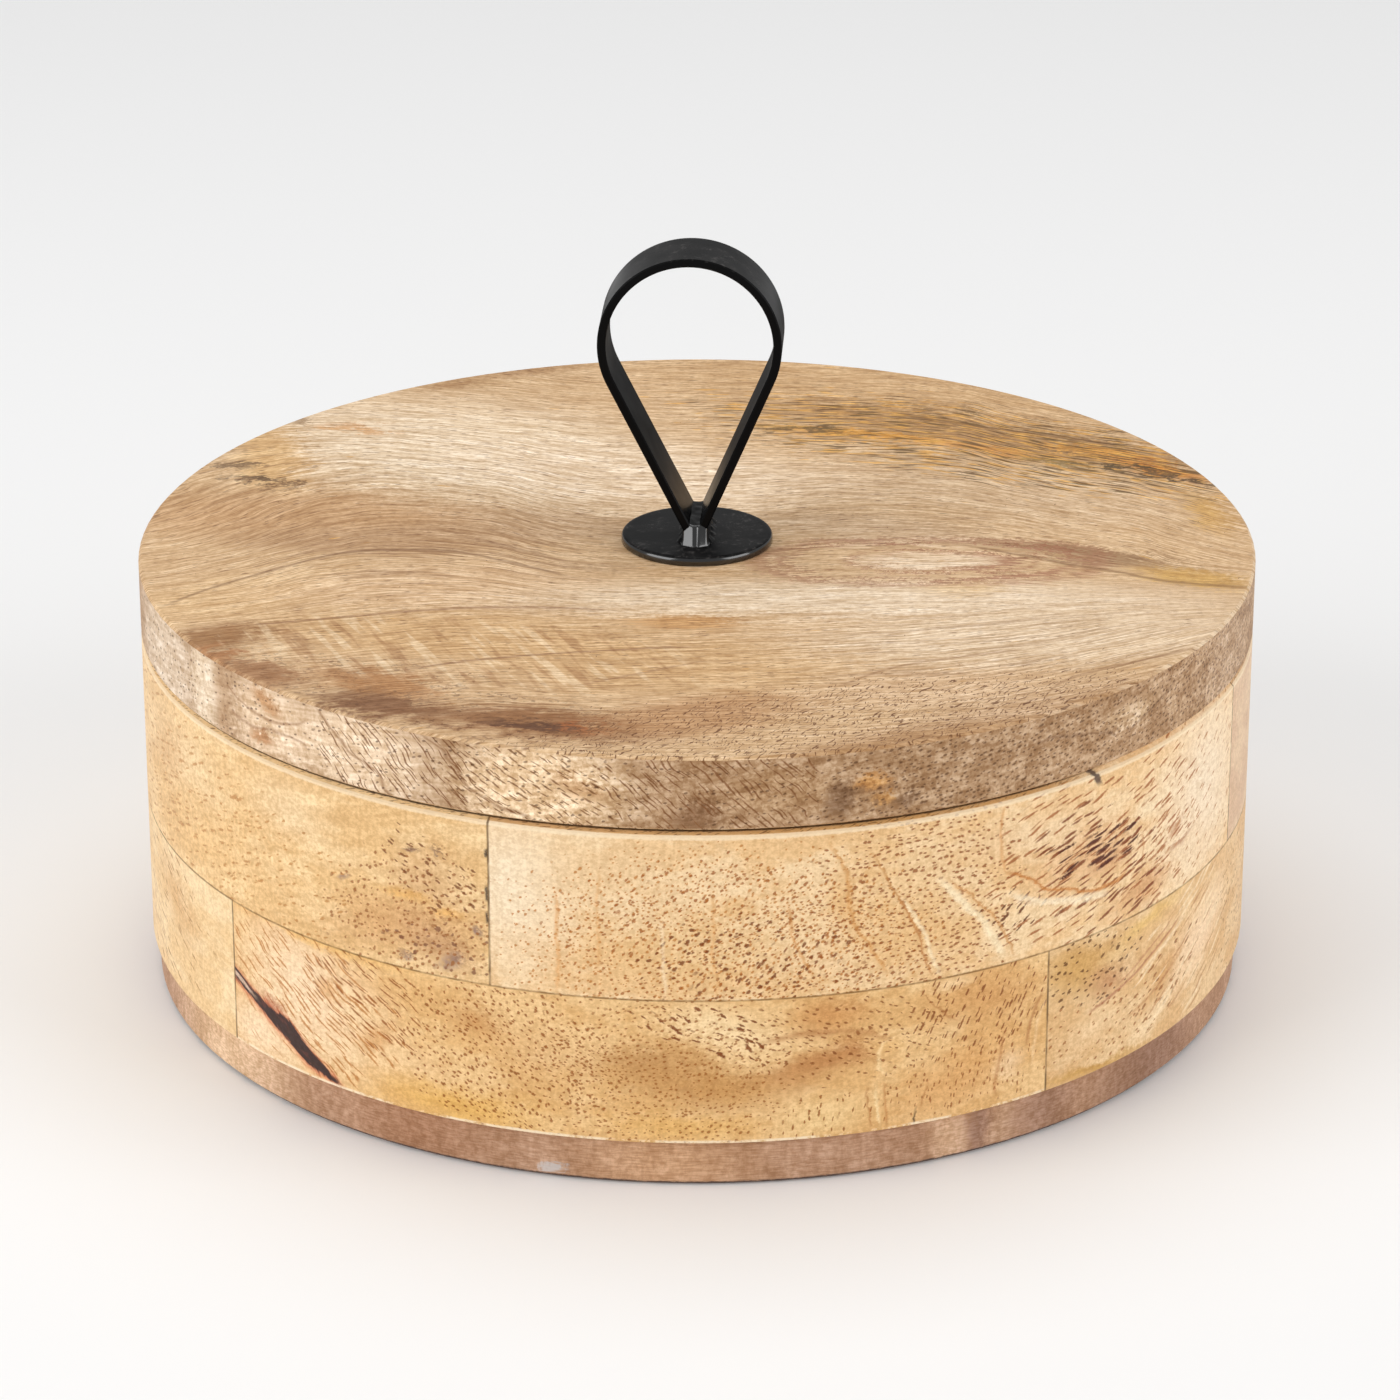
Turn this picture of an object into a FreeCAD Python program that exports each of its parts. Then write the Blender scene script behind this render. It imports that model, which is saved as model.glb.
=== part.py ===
"""Round wooden storage box with a lift-off lid and a bent steel handle.

The wall is two courses of quarter-ring segments, glued end to end and course on course, standing on a round
base board. The lid is one turned board, with a rebate under its edge that drops inside the wall. The handle
is a flat steel strip bent into a teardrop, with its two ends side by side and welded on edge to a small round
plate. A stud under the plate goes through the lid, and a washer and nut in a counterbore draw it up.

Millimetres, +Z up, front towards -Y. The origin is the centre of the base board's underside. Angles about the
box are counted from the front, towards +X.
"""
import FreeCAD, Part
import math
import os

Vector = FreeCAD.Vector
UP = Vector(0, 0, 1)
ORIGIN = Vector(0, 0, 0)
FULL_TURN = 360.0

# Wall of the box
body_radius = 150.0
wall = 14.0
lower_course_height = 39.6
upper_course_height = 46.2
segments_per_course = 4
lower_course_angle = -53.4
upper_course_angle = -20.2
rim_chamfer = 1.8

# Base board
base_setback = 1.8
base_thickness = 12.8
base_edge_chamfer = 1.2

# Lid
lid_seat_gap = 0.3
lid_thickness = 19.3
lid_upper_chamfer = 0.7
lid_lower_chamfer = 0.4
rebate_depth = 6.0
rebate_slack = 1.5
plug_edge_chamfer = 1.2

# Handle plate
plate_radius = 20.4
plate_thickness = 2.4
plate_edge_round = 0.8
plate_edge_chamfer = 0.3

# Handle strip, bent into a loop
strip_width = 19.0
strip_thickness = 2.3
strip_edge_chamfer = 0.35
loop_radius = 24.5
loop_centre_height = 55.3
foot_height = 3.4
foot_gap = 1.7
foot_bend_radius = 2.0
loop_lean_angle = 1.6
loop_turn_angle = 3.0

# Weld beads along the outer sides of the loop's two feet. A flat bead has its crest half a leg out.
weld_leg = 1.7
weld_end_margin = 0.8
weld_crest_share = 0.62

# Weld that fills the space between the feet
filling_height = 5.2
filling_hollow_radius = 2.4
filling_hollow_depth = 0.3

# Stud, washer and nut under the plate
stud_radius = 3.0
stud_hole_clearance = 0.25
stud_showing = 1.2
stud_end_chamfer = 0.6
thread_clearance = 0.03
washer_radius = 9.0
washer_thickness = 1.6
nut_sides = 6
nut_across_flats = 10.0
nut_height = 5.0
nut_corner_chamfer = 0.5
counterbore_radius = 10.5
counterbore_depth = 9.0

# One overrun for every cut that has to pass a face
cut_overrun = 2.0

# Sizes that follow from the ones above
inner_radius = body_radius - wall
base_radius = body_radius - base_setback
lower_course_top = base_thickness + lower_course_height
rim_height = lower_course_top + upper_course_height
lid_underside = rim_height + lid_seat_gap
lid_top = lid_underside + lid_thickness
plug_radius = inner_radius - rebate_slack
plug_underside = lid_underside - rebate_depth
counterbore_roof = plug_underside + counterbore_depth
plate_top = lid_top + plate_thickness
washer_underside = counterbore_roof - washer_thickness
nut_underside = washer_underside - nut_height
stud_end = nut_underside - stud_showing


def section_point(radius, height):
    """A point of a turned piece's section, drawn in the plane that faces the front."""
    return Vector(0, -radius, height)


def line(start, end):
    return Part.LineSegment(start, end).toShape()


def turned(edges, start_angle=0.0, sweep=FULL_TURN):
    """The solid that a closed section makes when it is turned about the box's axis."""
    face = Part.Face(Part.Wire(edges))
    face.rotate(ORIGIN, UP, start_angle)
    return face.revolve(ORIGIN, UP, sweep)


def outline(points):
    """The edges that join section points one after another and close the section."""
    following = points[1:] + points[:1]
    return [line(start, end) for start, end in zip(points, following)]


def chamfered_disc(radius, bottom, top, lower_chamfer, upper_chamfer):
    """A turned disc with a chamfer on its lower and on its upper edge."""
    return turned(outline([
        section_point(0, bottom),
        section_point(radius - lower_chamfer, bottom),
        section_point(radius, bottom + lower_chamfer),
        section_point(radius, top - upper_chamfer),
        section_point(radius - upper_chamfer, top),
        section_point(0, top),
    ]))


def cylinder(radius, bottom, top):
    return Part.makeCylinder(radius, top - bottom, Vector(0, 0, bottom), UP)


def wall_section(bottom, top):
    """The square-edged section of the lower course."""
    return outline([
        section_point(inner_radius, bottom),
        section_point(body_radius, bottom),
        section_point(body_radius, top),
        section_point(inner_radius, top),
    ])


def rim_section(bottom, top):
    """The section of the upper course, with both edges of the rim chamfered."""
    shoulder = top - rim_chamfer
    return outline([
        section_point(inner_radius, bottom),
        section_point(body_radius, bottom),
        section_point(body_radius, shoulder),
        section_point(body_radius - rim_chamfer, top),
        section_point(inner_radius + rim_chamfer, top),
        section_point(inner_radius, shoulder),
    ])


def course_segments(section, course_turn):
    """One course of the wall, as equal segments that meet end to end."""
    sweep = FULL_TURN / segments_per_course
    return [turned(section, course_turn + index * sweep, sweep) for index in range(segments_per_course)]


def base_board():
    return chamfered_disc(base_radius, 0, base_thickness, base_edge_chamfer, base_edge_chamfer / 2)


def lid_board():
    """The lid: a disc as wide as the wall, a plug that drops inside it, and the handle's stepped hole."""
    cover = chamfered_disc(body_radius, lid_underside, lid_top, lid_lower_chamfer, lid_upper_chamfer)
    plug_root = lid_underside + lid_thickness / 2
    plug = chamfered_disc(plug_radius, plug_underside, plug_root, plug_edge_chamfer, plug_edge_chamfer)
    hole_radius = stud_radius + stud_hole_clearance
    hole = cylinder(hole_radius, plug_underside - cut_overrun, lid_top + cut_overrun)
    counterbore = cylinder(counterbore_radius, plug_underside - cut_overrun, counterbore_roof)
    return cover.fuse(plug).cut(hole).cut(counterbore).removeSplitter()


def end_circles(shape):
    """The full circles of a turned piece, the lowest first."""
    circles = [edge for edge in shape.Edges if isinstance(edge.Curve, Part.Circle)]
    return sorted(circles, key=lambda edge: edge.Curve.Center.z)


def handle_plate():
    """The round plate, with a full round on the edge that shows and a small chamfer below."""
    plate = cylinder(plate_radius, lid_top, plate_top)
    plate = plate.makeChamfer(plate_edge_chamfer, end_circles(plate)[:1])
    return plate.makeFillet(plate_edge_round, end_circles(plate)[-1:])


def loop_edges(offset):
    """One side of the strip, from the right foot's end over the loop to the left foot's end.

    The path is drawn in the XZ plane at the given offset from the strip's middle line, with the outside of the
    loop positive. The heights are above the plate, and the feet run a little below it, to be trimmed there.
    """
    middle_radius = loop_radius - strip_thickness / 2
    middle_bend = foot_bend_radius + strip_thickness / 2
    foot_x = (foot_gap + strip_thickness) / 2
    bend_x = foot_x + middle_bend
    drop = loop_centre_height - foot_height
    reach = math.hypot(bend_x, drop)
    slope = math.atan2(drop, bend_x) - math.acos((middle_radius + middle_bend) / reach)
    arc_radius = middle_radius + offset
    bend_radius = middle_bend - offset

    def bend_point(angle):
        return (bend_x - bend_radius * math.cos(angle), foot_height + bend_radius * math.sin(angle))

    def loop_point(angle):
        return (arc_radius * math.cos(angle), loop_centre_height + arc_radius * math.sin(angle))

    def place(point, side):
        return Vector(side * point[0], 0, plate_top + point[1])

    def half(side):
        foot_end = place((foot_x + offset, -cut_overrun), side)
        foot_top = place(bend_point(0), side)
        bend_middle = place(bend_point(slope / 2), side)
        leg_start = place(bend_point(slope), side)
        leg_end = place(loop_point(-slope), side)
        foot = line(foot_end, foot_top)
        bend = Part.Arc(foot_top, bend_middle, leg_start).toShape()
        leg = line(leg_start, leg_end)
        return foot_end, [foot, bend, leg], leg_end

    right_end, right_edges, right_top = half(1)
    left_end, left_edges, left_top = half(-1)
    crown = Part.Arc(right_top, place(loop_point(math.pi / 2), 1), left_top).toShape()
    return right_end, left_end, right_edges + [crown] + left_edges


def set_on_plate(shape):
    """Leans and turns a piece as the loop was set by hand, and trims what reaches below the plate's top."""
    foot = Vector(0, 0, plate_top)
    shape.rotate(foot, Vector(0, 1, 0), -loop_lean_angle)
    shape.rotate(foot, UP, -loop_turn_angle)
    span = loop_radius + loop_centre_height
    below = Part.makeBox(2 * span, 2 * span, span, Vector(-span, -span, plate_top - span))
    return shape.cut(below)


def handle_loop():
    """The strip: a closed outline with its width along Y, its long edges chamfered and its feet cut flat."""
    half_thickness = strip_thickness / 2
    outer_right, outer_left, outer_edges = loop_edges(half_thickness)
    inner_right, inner_left, inner_edges = loop_edges(-half_thickness)
    feet = [line(outer_right, inner_right), line(outer_left, inner_left)]
    around = Part.Wire(Part.__sortEdges__(outer_edges + inner_edges + feet))
    strip = Part.Face(around).extrude(Vector(0, strip_width, 0))
    strip.translate(Vector(0, -strip_width / 2, 0))
    long_edges = [edge for edge in strip.Edges if runs_along_strip(edge)]
    return set_on_plate(strip.makeChamfer(strip_edge_chamfer, long_edges))


def runs_along_strip(edge):
    """Whether an edge follows the strip, and doesn't cross it or end it."""
    box = edge.BoundBox
    crosses = box.YLength > strip_width / 2
    ends = box.ZMax < plate_top - cut_overrun / 2
    return not crosses and not ends


def weld_bead(side):
    """A bead with a full, rounded face, in the corner between one foot's outer side and the plate."""
    foot_side = foot_gap / 2 + strip_thickness
    crest_reach = weld_crest_share * weld_leg

    def place(reach, height):
        return Vector(side * (foot_side + reach), 0, plate_top + height)

    upper = place(0, weld_leg)
    outer = place(weld_leg, 0)
    buried_outer = place(weld_leg, -cut_overrun)
    buried_inner = place(0, -cut_overrun)
    face_arc = Part.Arc(upper, place(crest_reach, crest_reach), outer).toShape()
    edges = [face_arc, line(outer, buried_outer), line(buried_outer, buried_inner), line(buried_inner, upper)]
    length = strip_width - 2 * weld_end_margin
    bead = Part.Face(Part.Wire(edges)).extrude(Vector(0, length, 0))
    bead.translate(Vector(0, -length / 2, 0))
    return set_on_plate(bead)


def middle_weld():
    """The weld that fills the space between the feet, hollow on top where the legs part."""
    half_width = (foot_gap + strip_thickness) / 2
    length = strip_width - 2 * weld_end_margin
    corner = Vector(-half_width, -length / 2, plate_top - cut_overrun)
    filling = Part.makeBox(2 * half_width, length, filling_height + cut_overrun, corner)
    axis_height = plate_top + filling_height - filling_hollow_depth + filling_hollow_radius
    hollow = Part.makeCylinder(
        filling_hollow_radius, 2 * strip_width, Vector(0, -strip_width, axis_height), Vector(0, 1, 0))
    return set_on_plate(filling.cut(hollow)).cut(handle_loop())


def handle_stud():
    """A plain stud, welded to the plate's underside, with its lower end chamfered."""
    stud = cylinder(stud_radius, stud_end, lid_top)
    return stud.makeChamfer(stud_end_chamfer, end_circles(stud)[:1])


def washer():
    ring = cylinder(washer_radius, washer_underside, counterbore_roof)
    return ring.cut(cylinder(stud_radius + stud_hole_clearance, washer_underside - cut_overrun, lid_top))


def nut():
    """A hexagon nut with its corners chamfered, bored to the stud."""
    corner_radius = nut_across_flats / 2 / math.cos(math.pi / nut_sides)
    corners = []
    for index in range(nut_sides + 1):
        angle = index * 2 * math.pi / nut_sides
        corners.append(Vector(corner_radius * math.cos(angle), corner_radius * math.sin(angle), nut_underside))
    hexagon = Part.Face(Part.makePolygon(corners)).extrude(Vector(0, 0, nut_height))
    turned_blank = cylinder(corner_radius, nut_underside, washer_underside)
    turned_blank = turned_blank.makeChamfer(nut_corner_chamfer, end_circles(turned_blank))
    bore = cylinder(stud_radius + thread_clearance, nut_underside - cut_overrun, washer_underside + cut_overrun)
    return hexagon.common(turned_blank).cut(bore)


def all_pieces():
    """Every piece of the box by name."""
    pieces = {"base_board": base_board()}
    lower = course_segments(wall_section(base_thickness, lower_course_top), lower_course_angle)
    upper = course_segments(rim_section(lower_course_top, rim_height), upper_course_angle)
    for number, segment in enumerate(lower, start=1):
        pieces[f"lower_segment_{number}"] = segment
    for number, segment in enumerate(upper, start=1):
        pieces[f"upper_segment_{number}"] = segment
    pieces["lid_board"] = lid_board()
    pieces["handle_plate"] = handle_plate()
    pieces["handle_loop"] = handle_loop()
    pieces["right_weld"] = weld_bead(1)
    pieces["left_weld"] = weld_bead(-1)
    pieces["middle_weld"] = middle_weld()
    pieces["handle_stud"] = handle_stud()
    pieces["handle_washer"] = washer()
    pieces["handle_nut"] = nut()
    return pieces


def main():
    os.makedirs("parts", exist_ok=True)
    for name, shape in all_pieces().items():
        shape.exportStep(os.path.join("parts", name + ".step"))
        box = shape.BoundBox
        low = (box.XMin, box.YMin, box.ZMin)
        high = (box.XMax, box.YMax, box.ZMax)
        spans = ", ".join(f"{start:.1f}..{end:.1f}" for start, end in zip(low, high))
        print(f"{name}: {len(shape.Solids)} solid, {shape.Volume:.0f} mm3, valid {shape.isValid()}, {spans}")


main()
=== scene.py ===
"""The looks of the round wooden storage box: procedural materials, lumpy welds, camera, stage and light.

Metres in the frame. The patterns of the wood are written in millimetres: about the wall by degrees from the
front and height, on the lid as shares of its radius. Colours are sRGB, written as 0xRRGGBB.
"""
import math

import bpy
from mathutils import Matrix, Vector, noise


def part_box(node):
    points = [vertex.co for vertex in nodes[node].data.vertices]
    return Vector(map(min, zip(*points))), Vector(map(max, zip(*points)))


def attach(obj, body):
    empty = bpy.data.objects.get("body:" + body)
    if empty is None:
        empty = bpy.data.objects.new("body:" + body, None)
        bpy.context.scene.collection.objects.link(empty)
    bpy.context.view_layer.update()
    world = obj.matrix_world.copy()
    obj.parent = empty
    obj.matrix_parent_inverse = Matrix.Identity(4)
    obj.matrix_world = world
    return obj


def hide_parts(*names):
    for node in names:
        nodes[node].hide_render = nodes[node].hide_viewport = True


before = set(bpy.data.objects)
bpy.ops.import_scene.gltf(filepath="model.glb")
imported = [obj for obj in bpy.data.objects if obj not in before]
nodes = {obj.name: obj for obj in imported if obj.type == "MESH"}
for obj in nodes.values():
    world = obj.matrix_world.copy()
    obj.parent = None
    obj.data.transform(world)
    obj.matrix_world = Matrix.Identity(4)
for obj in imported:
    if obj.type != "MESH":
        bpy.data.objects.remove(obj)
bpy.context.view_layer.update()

MM = 0.001
PHOTO_WIDTH = 1400

# Sizes in millimetres: all but the bevel of the upper edge are read from the frame
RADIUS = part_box("lid_board")[1].x / MM
BASE_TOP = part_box("base_board")[1].z / MM
COURSE_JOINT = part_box("upper_segment_1")[0].z / MM
UPPER_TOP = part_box("upper_segment_1")[1].z / MM
RIM_BEVEL = 1.8
ARC_PER_DEGREE = math.radians(RADIUS)

# How far a seed of one shifts a pattern along each axis
SEED_SHIFT = (137.0, 73.0, 31.0)


def linear(colour):
    """A colour given as sRGB, as the linear values that sockets hold."""
    out = []
    for channel in colour.to_bytes(3, "big"):
        c = channel / 255
        out.append(c / 12.92 if c <= 0.04045 else ((c + 0.055) / 1.055) ** 2.4)
    return (*out, 1.0)


class Field:
    """A number that varies over a surface: a socket of a material, with arithmetic."""

    def __init__(self, graph, socket):
        self.graph = graph
        self.socket = socket

    def __add__(self, other):
        return self.graph.math("ADD", self, other)

    def __radd__(self, other):
        return self.graph.math("ADD", other, self)

    def __sub__(self, other):
        return self.graph.math("SUBTRACT", self, other)

    def __rsub__(self, other):
        return self.graph.math("SUBTRACT", other, self)

    def __mul__(self, other):
        return self.graph.math("MULTIPLY", self, other)

    def __rmul__(self, other):
        return self.graph.math("MULTIPLY", other, self)

    def __truediv__(self, other):
        return self.graph.math("DIVIDE", self, other)

    def __neg__(self):
        return self * -1.0

    def __abs__(self):
        return self.graph.math("ABSOLUTE", self)


class Graph:
    """The node tree of one material, built by calls that take and return fields and vectors."""

    def __init__(self, name):
        self.material = bpy.data.materials.new(name)
        self.material.use_nodes = True
        self.tree = self.material.node_tree
        self.tree.nodes.clear()
        self.coordinates = self.new("ShaderNodeTexCoord")

    def new(self, kind, *values, **settings):
        """A node of a kind, with its settings, and with the values in its first inputs."""
        node = self.tree.nodes.new(kind)
        for key, value in settings.items():
            setattr(node, key, value)
        for socket, value in zip(node.inputs, values):
            self.put(socket, value)
        return node

    def put(self, socket, value):
        """Links a field or a socket to an input, or writes a number or tuple in it."""
        if isinstance(value, Field):
            value = value.socket
        if isinstance(value, bpy.types.NodeSocket):
            self.tree.links.new(value, socket)
        else:
            socket.default_value = value

    def math(self, operation, *values):
        return Field(self, self.new("ShaderNodeMath", *values, operation=operation).outputs[0])

    def vector(self, x, y, z=0.0):
        return self.new("ShaderNodeCombineXYZ", x, y, z).outputs[0]

    def parts(self, vector):
        return [Field(self, output) for output in self.new("ShaderNodeSeparateXYZ", vector).outputs]

    def length(self, vector):
        node = self.new("ShaderNodeVectorMath", vector, operation="LENGTH")
        return Field(self, node.outputs["Value"])

    def point(self):
        """The point on the object, in millimetres, as a vector."""
        node = self.new("ShaderNodeVectorMath", self.coordinates.outputs["Object"], operation="SCALE")
        node.inputs["Scale"].default_value = 1 / MM
        return node.outputs[0]

    def upward(self):
        """How far the surface faces up or down, from 1 to -1."""
        return self.parts(self.coordinates.outputs["Normal"])[2]

    def measured(self, vector, size, angle=0.0, origin=(0.0, 0.0, 0.0)):
        """A vector seen from an origin, turned by an angle, and counted in units of the given sizes."""
        turn = (0.0, 0.0, math.radians(angle))
        size = size if len(size) == 3 else (*size, 1.0)
        return self.new("ShaderNodeMapping", vector, origin, turn, size, vector_type="TEXTURE").outputs[0]

    def noise(self, vector, size, angle=0.0, seed=0.0, detail=2.0, roughness=0.5):
        """Noise from 0 to 1 about a half, with features of the given sizes along, across and in depth."""
        origin = tuple(seed * shift for shift in SEED_SHIFT)
        place = self.measured(vector, size, angle, origin)
        node = self.new("ShaderNodeTexNoise", place, noise_dimensions="3D")
        for key, value in (("Scale", 1.0), ("Detail", detail), ("Roughness", roughness)):
            node.inputs[key].default_value = value
        return Field(self, node.outputs["Fac"])

    def step(self, low, high, value):
        """A smooth step from 0 at low to 1 at high, or the other way round where low is the larger."""
        results = (0.0, 1.0) if low <= high else (1.0, 0.0)
        node = self.new("ShaderNodeMapRange", value, min(low, high), max(low, high), *results,
                        interpolation_type="SMOOTHSTEP", clamp=False)
        return Field(self, node.outputs["Result"])

    def band(self, value, start, full, last, end):
        """A soft band: it rises from 0 at start to 1 at full, and falls from 1 at last to 0 at end."""
        return self.step(start, full, value) * self.step(end, last, value)

    def between(self, share, first, second):
        """The first value where the share is 0, the second where it is 1."""
        node = self.new("ShaderNodeMix", share, data_type="FLOAT")
        self.put(node.inputs[2], first)
        self.put(node.inputs[3], second)
        return Field(self, node.outputs[0])

    def ellipse(self, vector, centre, size, angle=0.0, core=0.0, unit=1.0):
        """A soft ellipse: 1 out to the share core of its half sizes, 0 at their full length.

        The unit is that of the numbers along x: the arc of a degree where they are angles.
        """
        origin = (centre[0] * unit, centre[1], 0.0)
        place = self.measured(vector, (size[0] * unit, size[1]), angle, origin)
        return self.step(1.0, core, self.length(place))

    def curve(self, value, points):
        """A smooth curve through given points (value, result), flat beyond its ends."""
        low, high = points[0][0], points[-1][0]
        bottom, top = min(p[1] for p in points), max(p[1] for p in points)
        span = max(top - bottom, 1e-6)
        node = self.new("ShaderNodeFloatCurve")
        line = node.mapping.curves[0]
        shares = [((x - low) / (high - low), (y - bottom) / span) for x, y in points]
        line.points[0].location = shares[0]
        line.points[1].location = shares[-1]
        for share in shares[1:-1]:
            line.points.new(*share)
        node.mapping.update()
        start = self.math("MULTIPLY_ADD", value, 1 / (high - low), -low / (high - low))
        self.put(node.inputs["Value"], start)
        return self.math("MULTIPLY_ADD", Field(self, node.outputs[0]), span, bottom)

    def line(self, x, y, points, width, fade, unit=1.0):
        """A line along given points: 1 on it, 0 at width from it, fading out over fade at its ends."""
        points = [(p[0] * unit, p[1]) for p in points]
        spans = [max(p[i] for p in points) - min(p[i] for p in points) for i in (0, 1)]
        if spans[1] > spans[0]:
            x, y, points = y, x, [(p[1], p[0]) for p in points]
        points = sorted(points)
        off = abs(y - self.curve(x, points))
        middle, half = (points[0][0] + points[-1][0]) / 2, (points[-1][0] - points[0][0]) / 2
        ends = self.step(half + fade / 2, half - fade / 2, abs(x - middle))
        return self.step(width, 0.0, off) * ends

    def pores(self, vector, spacing, size, share, angle=0.0, seed=0.0, ragged=0.0):
        """Pores of about the given length and width, at most one to a cell of the given spacing.

        The share says in how many of the cells they are, ragged is a field that frays their edges.
        """
        place = self.measured(vector, spacing, angle, (seed * SEED_SHIFT[0], seed * SEED_SHIFT[1], 0.0))
        cell = self.new("ShaderNodeTexVoronoi", place, voronoi_dimensions="2D")
        cell.inputs["Scale"].default_value = 1.0
        offset = self.new("ShaderNodeVectorMath", place, cell.outputs["Position"], operation="SUBTRACT")
        scale = (2 * spacing[0] / size[0], 2 * spacing[1] / size[1], 0.0)
        shape = self.new("ShaderNodeVectorMath", offset.outputs[0], scale, operation="MULTIPLY")
        random = self.new("ShaderNodeSeparateColor", cell.outputs["Color"])
        chosen = self.step(0.0, 0.2, share - Field(self, random.outputs[0]))
        reach = self.math("MULTIPLY_ADD", Field(self, random.outputs[1]), 0.6, 0.6)
        return self.step(1.0, 0.45, self.length(shape.outputs[0]) / reach + ragged) * chosen

    def dashes(self, vector, size, amount, angle=0.0, seed=0.0):
        """Ragged tapering strokes of about the given size: the amount, from 0 to 1, says how many."""
        value = self.noise(vector, size, angle, seed, detail=1.0)
        return self.step(0.74, 0.82, self.math("MULTIPLY_ADD", amount, 0.22, value))

    def mix(self, factor, first, second, blend="MIX"):
        """The second colour over the first, as far as the factor says."""
        node = self.new("ShaderNodeMix", factor, data_type="RGBA", blend_type=blend)
        colours = [socket for socket in node.inputs if socket.type == "RGBA"]
        self.put(colours[0], first)
        self.put(colours[1], second)
        return next(socket for socket in node.outputs if socket.type == "RGBA")


class Paint:
    """A surface colour that is painted in layers."""

    def __init__(self, graph, colour):
        self.graph = graph
        self.colour = linear(colour)

    def over(self, colour, mask, strength=1.0):
        """Lays a colour over what is there, as far as the mask says."""
        factor = mask * strength if strength != 1.0 else mask
        self.colour = self.graph.mix(factor, self.colour, linear(colour))

    def zones(self, place, rows, unit=1.0, core=0.0):
        """Soft patches of colour: rows of colour, centre, half sizes, angle and strength."""
        for colour, centre, size, angle, strength in rows:
            self.over(colour, self.graph.ellipse(place, centre, size, angle, core, unit), strength)

    def grain(self, value, low, high, depth):
        """Darkens and lightens what is there as the value goes from low to high.

        The dark is warmer and the light is paler.
        """
        graph = self.graph
        darkest = (1 - depth * 0.9, 1 - depth * 1.2, 1 - depth * 1.6, 1.0)
        lightest = (1 + depth * 0.7, 1 + depth * 0.95, 1 + depth * 1.3, 1.0)
        tone = graph.mix(graph.step(low, high, value), darkest, lightest)
        self.colour = graph.mix(1.0, self.colour, tone, "MULTIPLY")

    def finish(self, roughness, height=None, depth=0.0, metallic=0.0, specular=0.5):
        """The finished material: a height from 0 to 1 stands for a relief of the depth, in millimetres."""
        graph = self.graph
        shader = graph.new("ShaderNodeBsdfPrincipled")
        inputs = {"Base Color": self.colour, "Roughness": roughness, "Metallic": metallic,
                  "Specular IOR Level": specular}
        if height is not None:
            bump = graph.new("ShaderNodeBump")
            bump.inputs["Distance"].default_value = depth * MM
            bump.inputs["Strength"].default_value = 1.0
            graph.put(bump.inputs["Height"], height)
            inputs["Normal"] = bump.outputs[0]
        for key, value in inputs.items():
            graph.put(shader.inputs[key], value)
        graph.new("ShaderNodeOutputMaterial", shader.outputs[0])
        return graph.material


def dress(names, material):
    for name in names:
        slots = nodes[name].data.materials
        slots.clear()
        slots.append(material)


# The lid's top, in shares of its radius: u to the right, v to the back

LINES_BACK = [(-1.0, 0.1), (-0.8, 0.15), (-0.65, 0.15), (-0.4, 0.1), (-0.15, 0.04), (0.1, 0.03), (0.42, 0.0),
              (0.6, -0.09), (0.72, -0.15), (0.88, -0.21), (1.0, -0.25)]
LINES_MIDDLE = [(-1.0, -0.22), (-0.92, -0.19), (-0.83, -0.14), (-0.73, -0.07), (-0.66, -0.03), (-0.53, 0.0),
                (-0.4, -0.016), (-0.29, -0.07), (-0.22, -0.1), (-0.1, -0.12), (0.1, -0.12), (0.3, -0.09),
                (0.51, -0.1), (0.66, -0.15), (0.78, -0.2), (0.85, -0.26), (1.0, -0.36)]
LINES_FRONT = [(-1.0, -0.15), (-0.77, -0.085), (-0.53, -0.026), (-0.37, 0.0), (-0.18, -0.01), (0.1, 0.0),
               (0.3, 0.02), (0.5, 0.06), (0.66, 0.12), (0.8, 0.2), (1.0, 0.32)]
EYE = (0.421, -0.106)

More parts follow.
